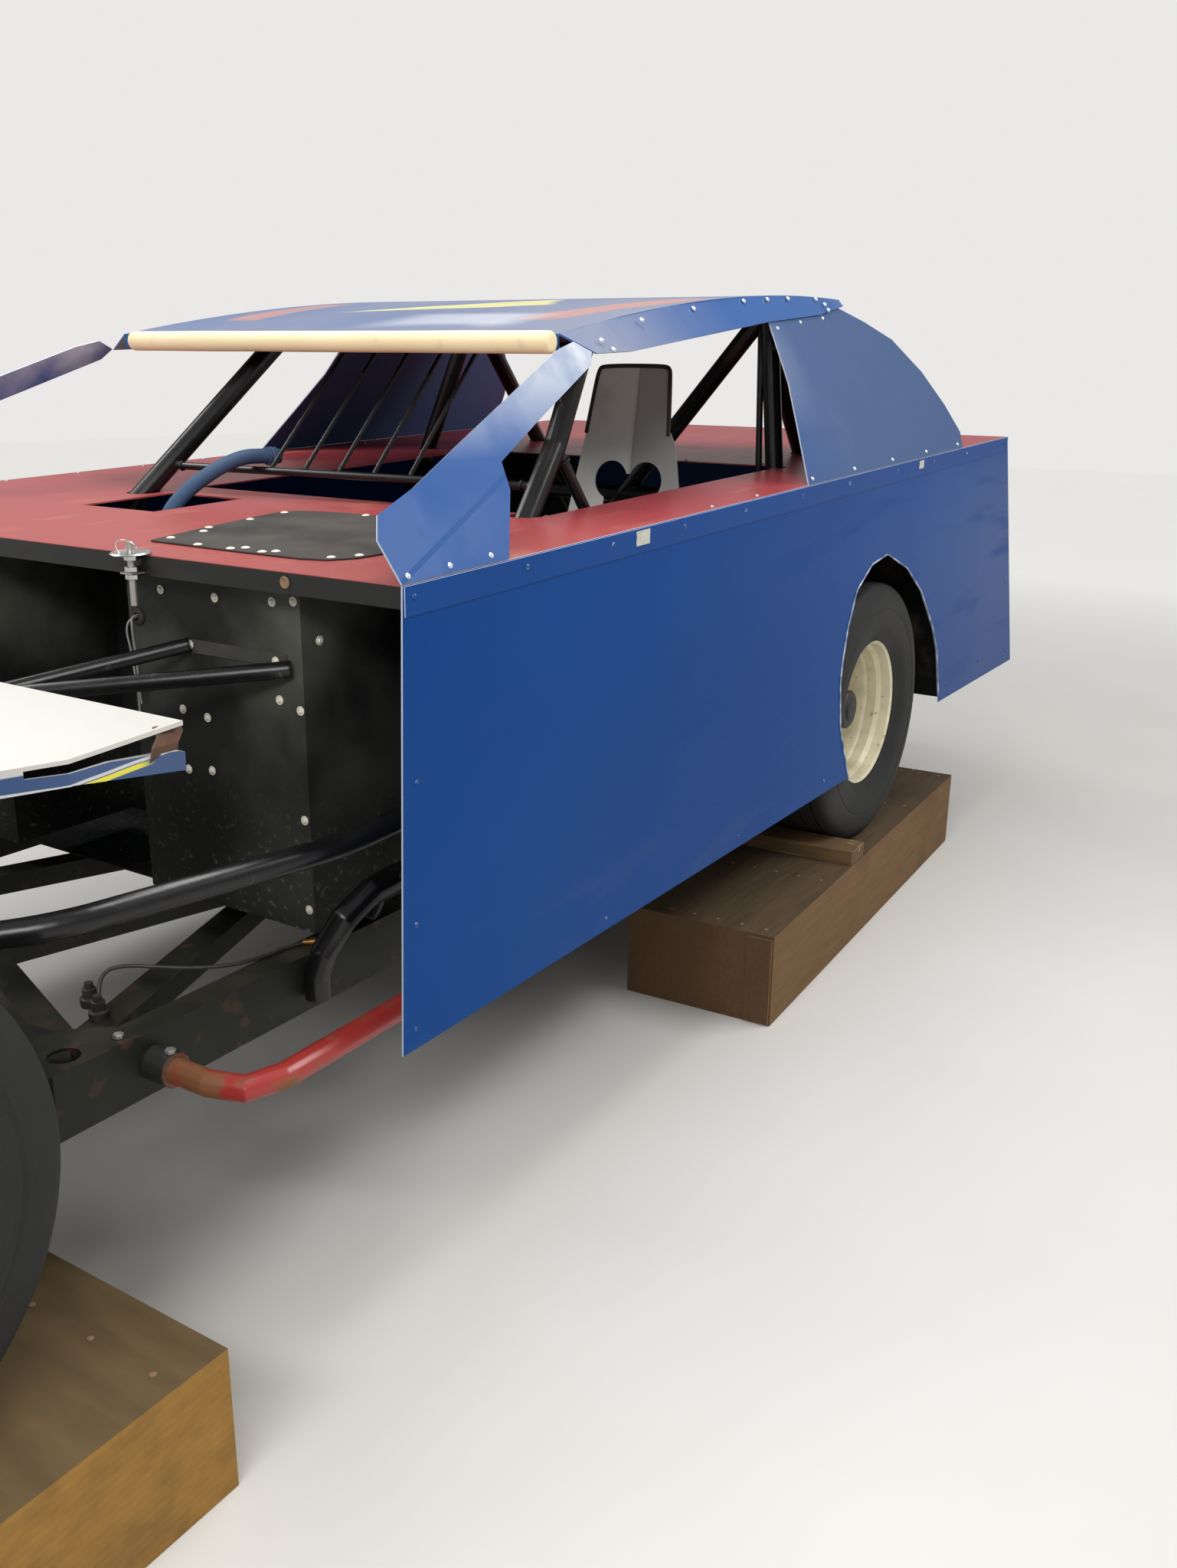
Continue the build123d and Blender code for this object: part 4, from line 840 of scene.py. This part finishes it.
# Nose: a moulded plastic sheet, white on top, with a slim blue lip along each side that carries a
# yellow and a white stripe, and a rusty steel bracket at its rear corner. Its downward faces are
# painted grey as shade.
plastic = Shade("nose_white")
stain = plastic.noise(5, 8)
along = plastic.part("Y")
top_height = 0.966 + (along + 0.96) * 0.195
drop = top_height - plastic.part("Z")
side_on = plastic.step(plastic.facing("X").size(), 0.35, 0.5)
lip = plastic.step(drop, 0.01, 0.012) * side_on * plastic.step(along, -2.3, -2.28)
stripe = drop + (plastic.noise(6, 2) * 0.01 - 0.005)
yellow = lip * plastic.band(stripe, 0.04, 0.046, 0.001) * plastic.band(along, -1.25, -1.02, 0.02)
thin = lip * plastic.band(stripe, 0.034, 0.0375, 0.001)
# Painted shade: faces that look down, under the top and inside the sides, are darkened to grey.
painted_underside_shade = plastic.below(plastic.facing("Z"), -0.4, -0.2)
white = plastic.layered(stain, (0.62, 0.605, 0.57), (0.52, 0.505, 0.46),
                        (lip, (0.045, 0.085, 0.2)),
                        (thin * 0.8, (0.7, 0.7, 0.68)),
                        (yellow, (0.72, 0.66, 0.06)),
                        (painted_underside_shade, (0.2, 0.2, 0.19)))
coat(plastic.finish(white, 0.3 + 0.2 * stain, stain, 0.0006, 0.2), "nose")
bracket_rust = mottled("bracket_rust", 60, 8, (0.065, 0.034, 0.02), (0.19, 0.105, 0.065), (0.6, 0.3),
                       0.0006, 0.6)
brackets = []
for side in (-1, 1):
    bracket = block((side * 0.592, -0.985, 0.935), (0.003, 0.046, 0.052))
    open_whole()
    bpy.ops.mesh.subdivide(number_cuts=3)
    bpy.ops.object.mode_set(mode="OBJECT")
    for corner in bracket.data.vertices:
        corner.co.x += side * 0.01 * math.sin((corner.co.z - 0.909) / 0.052 * math.pi)
        if corner.co.z > 0.945:
            corner.co.y += 0.012
    brackets.append(modified(bracket, "BEVEL", width=0.0008))
settled(joined(brackets), "nose_brackets", bracket_rust)


# Seat: folded aluminium sheet, matt and finger-marked, with painted light on one side of its middle
# fold and painted shade on the other, and a black rubber trim round the top of the back.
metal = Shade("seat_metal")
brushed = metal.noise(60, 6, (1, 1, 0.04))
across = metal.part("X")
# Painted light and shade: pale grey on the inboard side of the fold, darker grey on the outboard side.
grey = metal.layered(metal.below(across, 0.333, 0.335), (0.46, 0.45, 0.43), (0.8, 0.78, 0.73),
                     (metal.patches(9, 8, 0.5, 0.8) * 0.3, (0.26, 0.25, 0.22)))
fold = metal.step(across, 0.326, 0.342)
coat(metal.finish(grey, 0.5 + 0.2 * brushed, fold + 0.02 * brushed, 0.006, 0.5, Metallic=0.15), "seat")
back_lean = 0.16
slope = 1 / math.sqrt(1 + back_lean ** 2)
trim = []
for across, height in ((0.113, 0.735), (0.112, 0.755), (0.102, 0.872), (0.098, 0.892), (0.08, 0.897),
                       (-0.086, 0.896), (-0.098, 0.886), (-0.105, 0.842), (-0.118, 0.735)):
    trim.append((0.318 + across, 0.6 - 0.004 * slope + back_lean * slope * height, 0.557 + slope * height))
rod(trim, 0.0052, "seat_trim", mat_black)


# Steering and shocks: plain steel column in bearings with a bare splined hub, forged knuckles and
# links, all bare metal with brown spots.
steel = mottled("steel", 25, 8, (0.26, 0.26, 0.26), (0.13, 0.085, 0.055), (0.35, 0.3), 0.0004, 0.3,
                (0.5, 0.7), Metallic=0.8)
coat(steel, "front_shocks", "steering_column", "knuckle_left", "knuckle_right", "centre_link", "pitman_arm",
     "idler_arm")


# Radiator: an aluminium core of fine fins on upright tubes between two tanks, dull with dirt and
# bolted across the front of the frame.
metal = Shade("radiator_metal")
fins = (metal.part("Z") * 1400).wave()
tubes = metal.band((metal.part("X") * 120).wave(), 0.55, 1, 0.1)
dirt = metal.noise(8, 8)
grey = metal.layered(dirt, (0.26, 0.26, 0.25), (0.11, 0.1, 0.085),
                     (tubes * 0.5, (0.34, 0.34, 0.33)))
coat(metal.finish(grey, 0.45 + 0.2 * dirt, fins * 0.5 + tubes, 0.0012, 0.6, Metallic=0.6), "radiator")


# Springs: coils of red sprayed wire, long ones round the leaning front shocks and short ones on
# the pads of the rear axle.
axle_z = 0.5653
front_axle_y = -1.665
rear_axle_y = 1.18


def coil(radius, wire, height, turns):
    """Upright coil on the origin, by a screw of one round of wire."""
    deselect()
    bpy.ops.mesh.primitive_circle_add(vertices=12, radius=wire, location=(radius, 0, 0),
                                      rotation=(math.radians(90), 0, 0))
    piece = set_down(bpy.context.object)
    modified(piece, "SCREW", axis="Z", screw_offset=height / turns, iterations=turns, steps=28,
             render_steps=28)
    open_whole()
    bpy.ops.mesh.remove_doubles(threshold=0.00001)
    bpy.ops.mesh.select_all(action="DESELECT")
    bpy.ops.mesh.select_non_manifold()
    bpy.ops.mesh.edge_face_add()
    close_outward()
    bpy.ops.object.shade_smooth_by_angle(angle=math.radians(50))
    return piece


spring_red = mottled("spring_red", 60, 8, (0.34, 0.03, 0.022), (0.1, 0.06, 0.04), (0.35, 0.25),
                     0.0003, 0.3, (0.6, 0.66))
springs = []
for side in (-1, 1):
    spring = coil(0.0555, 0.0068, 0.082, 3)
    spring.location = (side * 0.44, rear_axle_y, 0.6145)
    springs.append(set_down(spring))
settled(joined(springs), "rear_springs", spring_red)
springs = []
for side in (-1, 1):
    lean = (side * (0.376 - 0.448), 0, 0.215)
    spring = faced(coil(0.033, 0.006, 0.15, 5), (side * 0.44, front_axle_y, 0.5), lean, "Z", "Y")
    springs.append(set_down(spring))
settled(joined(springs), "front_springs", spring_red)


# Fuel cell: a steel can painted red and chipped at the edges, with a black filler cap screwed on
# its top.
can_red = mottled("can_red", 20, 8, (0.3, 0.028, 0.025), (0.11, 0.1, 0.09), (0.35, 0.3), 0.0006, 0.3,
                  (0.62, 0.66))
coat(can_red, "fuel_cell")
cap = turned([(0, 0), (0, 62), (6, 64), (10, 60), (10, 46), (32, 44), (36, 40), (36, 0)], 48)
repeated(cap, [((0, 1.992, 0.88), straight_up)], "fuel_filler_cap", mat_black)


# Rub bars: side tubes in faded red, rubbed back to brown rust where they turn in to a black steel
# sleeve on the rail that a cross bolt holds.
paint = Shade("rub_red")
chips = paint.noise(24, 8)
across = paint.part("X").size()
near_sleeve = paint.below(across, 0.67, 0.748)
sleeve = paint.below(across, 0.604, 0.608) * paint.below(paint.part("Y"), -0.98, -0.96)
bare = paint.step(chips + 0.22 * near_sleeve, 0.54, 0.68)
red = paint.layered(paint.noise(6), (0.3, 0.024, 0.022), (0.4, 0.045, 0.036),
                    (bare * 0.85, (0.18, 0.085, 0.028)),
                    (sleeve, (0.018, 0.02, 0.016)))
coat(paint.finish(red, 0.28 + 0.35 * bare, chips, 0.0006, 0.3, blend=0.007), "side_rub_bars")
bolt = turned([(0, 0), (0, 7.5), (1, 8.2), (6, 8.2), (6.8, 7.2), (6.8, 0)], 6, 20)
bolts = both_sides([((0.596, -1.016, 0.4755), straight_up), ((0.54, -1.06, 0.5032), straight_up)])
repeated(bolt, bolts, "sleeve_bolts", rivet_grey)


# Wheels: pressed steel rims in cream paint, a deep outer dish with rolled steps and a ring disc
# with eight slots, black hubs with five nuts, and dusty dirt tyres with ribbed treads.
paint = Shade("wheel_cream")
brake_dust = paint.noise(12, 8)
cream = paint.layered(paint.step(brake_dust, 0.45, 0.8), (0.72, 0.66, 0.48), (0.46, 0.4, 0.26),
                      (paint.patches(70, 6, 0.66, 0.7) * 0.5, (0.16, 0.11, 0.07)))
wheel_cream = paint.finish(cream, 0.3 + 0.3 * brake_dust, brake_dust, 0.0004, 0.3, 0.4)
hub_black = mottled("hub_black", 20, 6, (0.008, 0.008, 0.008), (0.035, 0.032, 0.028), (0.35, 0.3),
                    0.0005, 0.3)


def tyre_rubber(name, axle_y):
    """Rubber with dusty, finely ringed walls and slanted cuts across the tread, about one axle."""
    rubber = Shade(name)
    rubbed = rubber.noise(10, 8)
    y = rubber.part("Y") - axle_y
    z = rubber.part("Z") - axle_z
    radius = (y * y + z * z).power(0.5)
    turn = rubber.add("ShaderNodeMath", {"operation": "ARCTAN2"}, {0: z, 1: y})
    wall = rubber.below(radius, 0.33, 0.338)
    across = rubber.part("X").size() * 14
    slant = (turn * 46 + across * 6).wave()
    cuts = rubber.band(slant, 0.8, 1, 0.06) * rubber.step(radius, 0.3425, 0.3435)
    rings = (radius * 2600).wave() * 0.06 * wall
    black = rubber.layered(rubbed, (0.007, 0.008, 0.009), (0.024, 0.024, 0.023),
                           (wall * rubber.patches(4, 6, 0.5, 0.8) * 0.4, (0.06, 0.055, 0.046)))
    return rubber.finish(black, 0.6 + 0.2 * rubbed, rings + 0.1 * rubbed - cuts, 0.004, 0.6, 0.35)


half_tyre = [(94, 190.5), (105.5, 192.5), (110.5, 208.5), (120, 220), (125.2, 238), (126.8, 258),
             (127, 272), (125.5, 274), (125.6, 279), (126.8, 281), (126.2, 290), (123.5, 308), (119, 323),
             (112.5, 333.5), (104, 340.5), (96, 343.6), (80, 344.7), (79.2, 338), (72.8, 338),
             (72, 344.8), (40, 344.9), (39.2, 338), (32.8, 338), (32, 345), (3.4, 345), (2.8, 338.5)]
tyre_outline = half_tyre + [(-along, radius) for along, radius in reversed(half_tyre)]
rim_outline = [(105.8, 207.5), (104, 209.6), (101.5, 208), (100, 196), (96, 189.5), (70, 188.5),
               (60, 180), (25, 176), (-50, 176), (-65, 186), (-96, 189.5), (-100, 196), (-101.5, 208),
               (-104, 209.6), (-105.8, 207.5), (-103, 193.5), (-97.5, 185), (-64, 181.5), (-49, 171.2),
               (23, 171.2), (30, 173.5), (33, 176.5), (60, 176.5), (66, 180), (72, 183.8), (97, 184.6),
               (102.5, 193)]
disc_outline = [(-34, 171.2), (-28, 171.2), (-26, 160), (-18, 150), (-17.5, 132), (-23, 120), (-25, 106),
                (-30, 106), (-29, 121), (-23.5, 133), (-24, 148), (-32, 159)]
hub_outline = [(-66, 0), (-66, 46), (-40, 48), (-39, 112), (-25.5, 113), (-23.5, 110), (-23, 70),
               (-12, 56), (30, 53), (50, 51.5), (54.5, 47), (55.5, 30), (60, 28), (62, 23), (62, 0)]
nut_outline = [(0, 0), (0, 12.5), (1.5, 13.5), (15, 13.5), (17.5, 11), (17.6, 6.8), (26, 6.6), (27.5, 5),
               (27.5, 0)]
slot_count = 8
slot_ring = 0.14
nut_count = 5
nut_ring = 0.093
nut_inset = 0.0235
for axle, half_track, axle_y in (("front", 0.663, front_axle_y), ("rear", 0.7, rear_axle_y)):
    tread_rubber = tyre_rubber("tyre_" + axle, axle_y)
    for hand, side in (("left", 1), ("right", -1)):
        corner = axle + "_" + hand
        body = "wheel_" + corner
        place = (side * half_track, axle_y, axle_z)
        out = (side, 0, 0)
        tyre = turned(tyre_outline, 128, 30)
        settled(faced(tyre, place, out), "tyre_tread_" + corner, tread_rubber, body)
        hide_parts("tyre_" + corner)
        disc = turned(disc_outline, 96, 30)
        cutters = []
        for number in range(slot_count):
            angle = 2 * math.pi * number / slot_count
            cutter = block((-0.024, slot_ring * math.sin(angle), slot_ring * math.cos(angle)),
                           (0.06, 0.046, 0.024), (-angle, 0, 0))
            cutters.append(modified(cutter, "BEVEL", width=0.008, segments=3))
        slots = joined(cutters)
        pick(disc)
        modified(disc, "BOOLEAN", operation="DIFFERENCE", object=slots)
        bpy.data.objects.remove(slots)
        whole = joined([turned(rim_outline, 128, 30), disc])
        settled(faced(whole, place, out), "rim_dish_" + corner, wheel_cream, body)
        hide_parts("rim_" + corner)
        hub = turned(hub_outline, 48, 30)
        settled(faced(hub, place, out), "hub_" + corner, hub_black, body)
        nuts = []
        for number in range(nut_count):
            angle = 2 * math.pi * number / nut_count + math.radians(20)
            nuts.append(((place[0] - side * nut_inset, axle_y + nut_ring * math.sin(angle),
                          axle_z + nut_ring * math.cos(angle)), out))
        repeated(turned(nut_outline, 6, 20), nuts, "wheel_nuts_" + corner, rivet_grey, body)


# Duct hose: a stiff blue sleeve over spring wire that comes up through the deck hole and lies over
# the dash bar, where a ribbed collar ends it.
hose = Shade("hose_blue")
grime = hose.noise(14, 6)
blue = hose.mix(grime, (0.022, 0.052, 0.115), (0.055, 0.1, 0.18))
hose_blue = hose.finish(blue, 0.55 + 0.2 * grime, hose.noise(90, 3), 0.0008, 0.4, 0.3)
sleeve = rod([(-0.168, -0.33, 1.012), (-0.166, -0.323, 1.09), (-0.158, -0.297, 1.146),
              (-0.145, -0.255, 1.189), (-0.126, -0.192, 1.228), (-0.109, -0.135, 1.25),
              (-0.096, -0.092, 1.2505), (-0.084, -0.053, 1.249)],
             0.0155, "duct_sleeve", hose_blue)
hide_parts("duct_hose")
collar = turned([(-12, 15), (-12, 18.5), (-8, 19.5), (-4, 17.5), (0, 19.5), (4, 17.5), (8, 19.2),
                 (12, 15)], 32, 50)
settled(faced(collar, (-0.09, -0.07, 1.2497), (0.3, 0.954, 0)), "duct_collar", hose_blue)


# Wooden boxes: one closed box under each wheel, dark planks oily on top and end at the rear,
# golden plywood with a greasy top at the front.
planks = Shade("crib_wood")
grain = planks.noise(14, 8, (6, 0.5, 6))
blotch = planks.noise(3, 6)
ends = planks.step(planks.facing("Y").size(), 0.7, 0.9)
wood = planks.layered(grain, (0.105, 0.055, 0.022), (0.235, 0.135, 0.055),
                      (planks.faces_up() * 0.75,
                       planks.mix(grain, (0.03, 0.024, 0.017), (0.08, 0.06, 0.036))),
                      (ends * 0.7, planks.mix(blotch, (0.026, 0.016, 0.01), (0.085, 0.038, 0.018))),
                      (planks.step(blotch, 0.52, 0.7) * 0.4, (0.022, 0.016, 0.011)))
crib_wood = planks.finish(wood, 0.7 + 0.2 * grain, grain, 0.002, 0.5, 0.3)
coat(crib_wood, "crib_rear_left", "crib_rear_right")
ply = Shade("ply_wood")
grain = ply.noise(12, 8, (0.6, 2.2, 3.4))
top = ply.faces_up()
layers = ply.band((ply.part("Z") * 520).wave(), 0.3, 1, 0.2) * (1 - top)
wood = ply.layered(grain, (0.19, 0.098, 0.02), (0.44, 0.235, 0.052),
                   (top * 0.9, ply.mix(grain, (0.045, 0.032, 0.016), (0.13, 0.092, 0.046))),
                   (layers * 0.08, (0.1, 0.052, 0.022)),
                   (ply.patches(4, 8, 0.52, 0.7) * 0.4, (0.055, 0.04, 0.026)))
coat(ply.finish(wood, 0.65 + 0.25 * grain, grain, 0.001, 0.4, 0.3), "crib_front_left", "crib_front_right")

# Chock boards: a rough sawn board nailed across each rear box ahead of the tyre, its front edge
# split and pale.
box_turn = math.radians(3)


def turned_place(side, along_x, along_y):
    """Place on a rear box, which stands three degrees askew."""
    x = 0.691 + along_x * math.cos(box_turn) - along_y * math.sin(box_turn)
    y = 1.137 + along_x * math.sin(box_turn) + along_y * math.cos(box_turn)
    return (side * x, y)


sawn = Shade("board_wood")
grain = sawn.noise(16, 8, (0.5, 6, 6))
split = sawn.step(sawn.noise(30, 8, (0.3, 1, 1)) + sawn.edges(0.004) * 0.25, 0.66, 0.72)
wood = sawn.layered(grain, (0.07, 0.045, 0.022), (0.19, 0.115, 0.05),
                    (split * 0.8, (0.5, 0.34, 0.19)))
board_wood = sawn.finish(wood, 0.7 + 0.2 * grain, grain, 0.002, 0.6, 0.3)
boards = []
for side in (-1, 1):
    place = (*turned_place(side, 0, -0.168), 0.2395)
    board = block(place, (0.366, 0.089, 0.038), (0, 0, side * box_turn))
    open_whole()
    bpy.ops.mesh.subdivide(number_cuts=12)
    bpy.ops.object.mode_set(mode="OBJECT")
    for corner in board.data.vertices:
        if corner.co.z > 0.017 and corner.co.y < -0.04:
            corner.co.z -= 0.0025 * ragged.random()
            corner.co.y += 0.003 * ragged.random()
    boards.append(modified(board, "BEVEL", width=0.0015, limit_method="ANGLE"))
settled(joined(boards), "chock_boards", board_wood)

# Nails and battens: rusty nail heads in rows across the tops of all four boxes, and an upright
# corner batten nailed on the front end of each rear box.
box_top = 0.2203
nails = []
for side in (-1, 1):
    for along_y in (-0.71, -0.35, 0.35, 0.71):
        for along_x in (-0.15, -0.09, -0.03, 0.03, 0.09, 0.15):
            nails.append(((*turned_place(side, along_x, along_y), box_top), straight_up))
    for along_y in (-0.38, 0.38):
        for along_x in (-0.18, -0.06, 0.06, 0.18):
            nails.append(((side * (0.663 + along_x), front_axle_y + along_y, box_top), straight_up))
nail = turned([(-0.8, 0), (-0.8, 4.8), (0.4, 4.8), (0.8, 3.6), (0.8, 0)], 12)
repeated(nail, nails, "crib_nails", plug_rust)
battens = []
for side in (-1, 1):
    place = (*turned_place(side, 0.15, -0.7465), 0.108)
    batten = block(place, (0.062, 0.006, 0.212), (0, 0, side * box_turn))
    battens.append(modified(batten, "BEVEL", width=0.0015))
settled(joined(battens), "crib_battens", crib_wood)
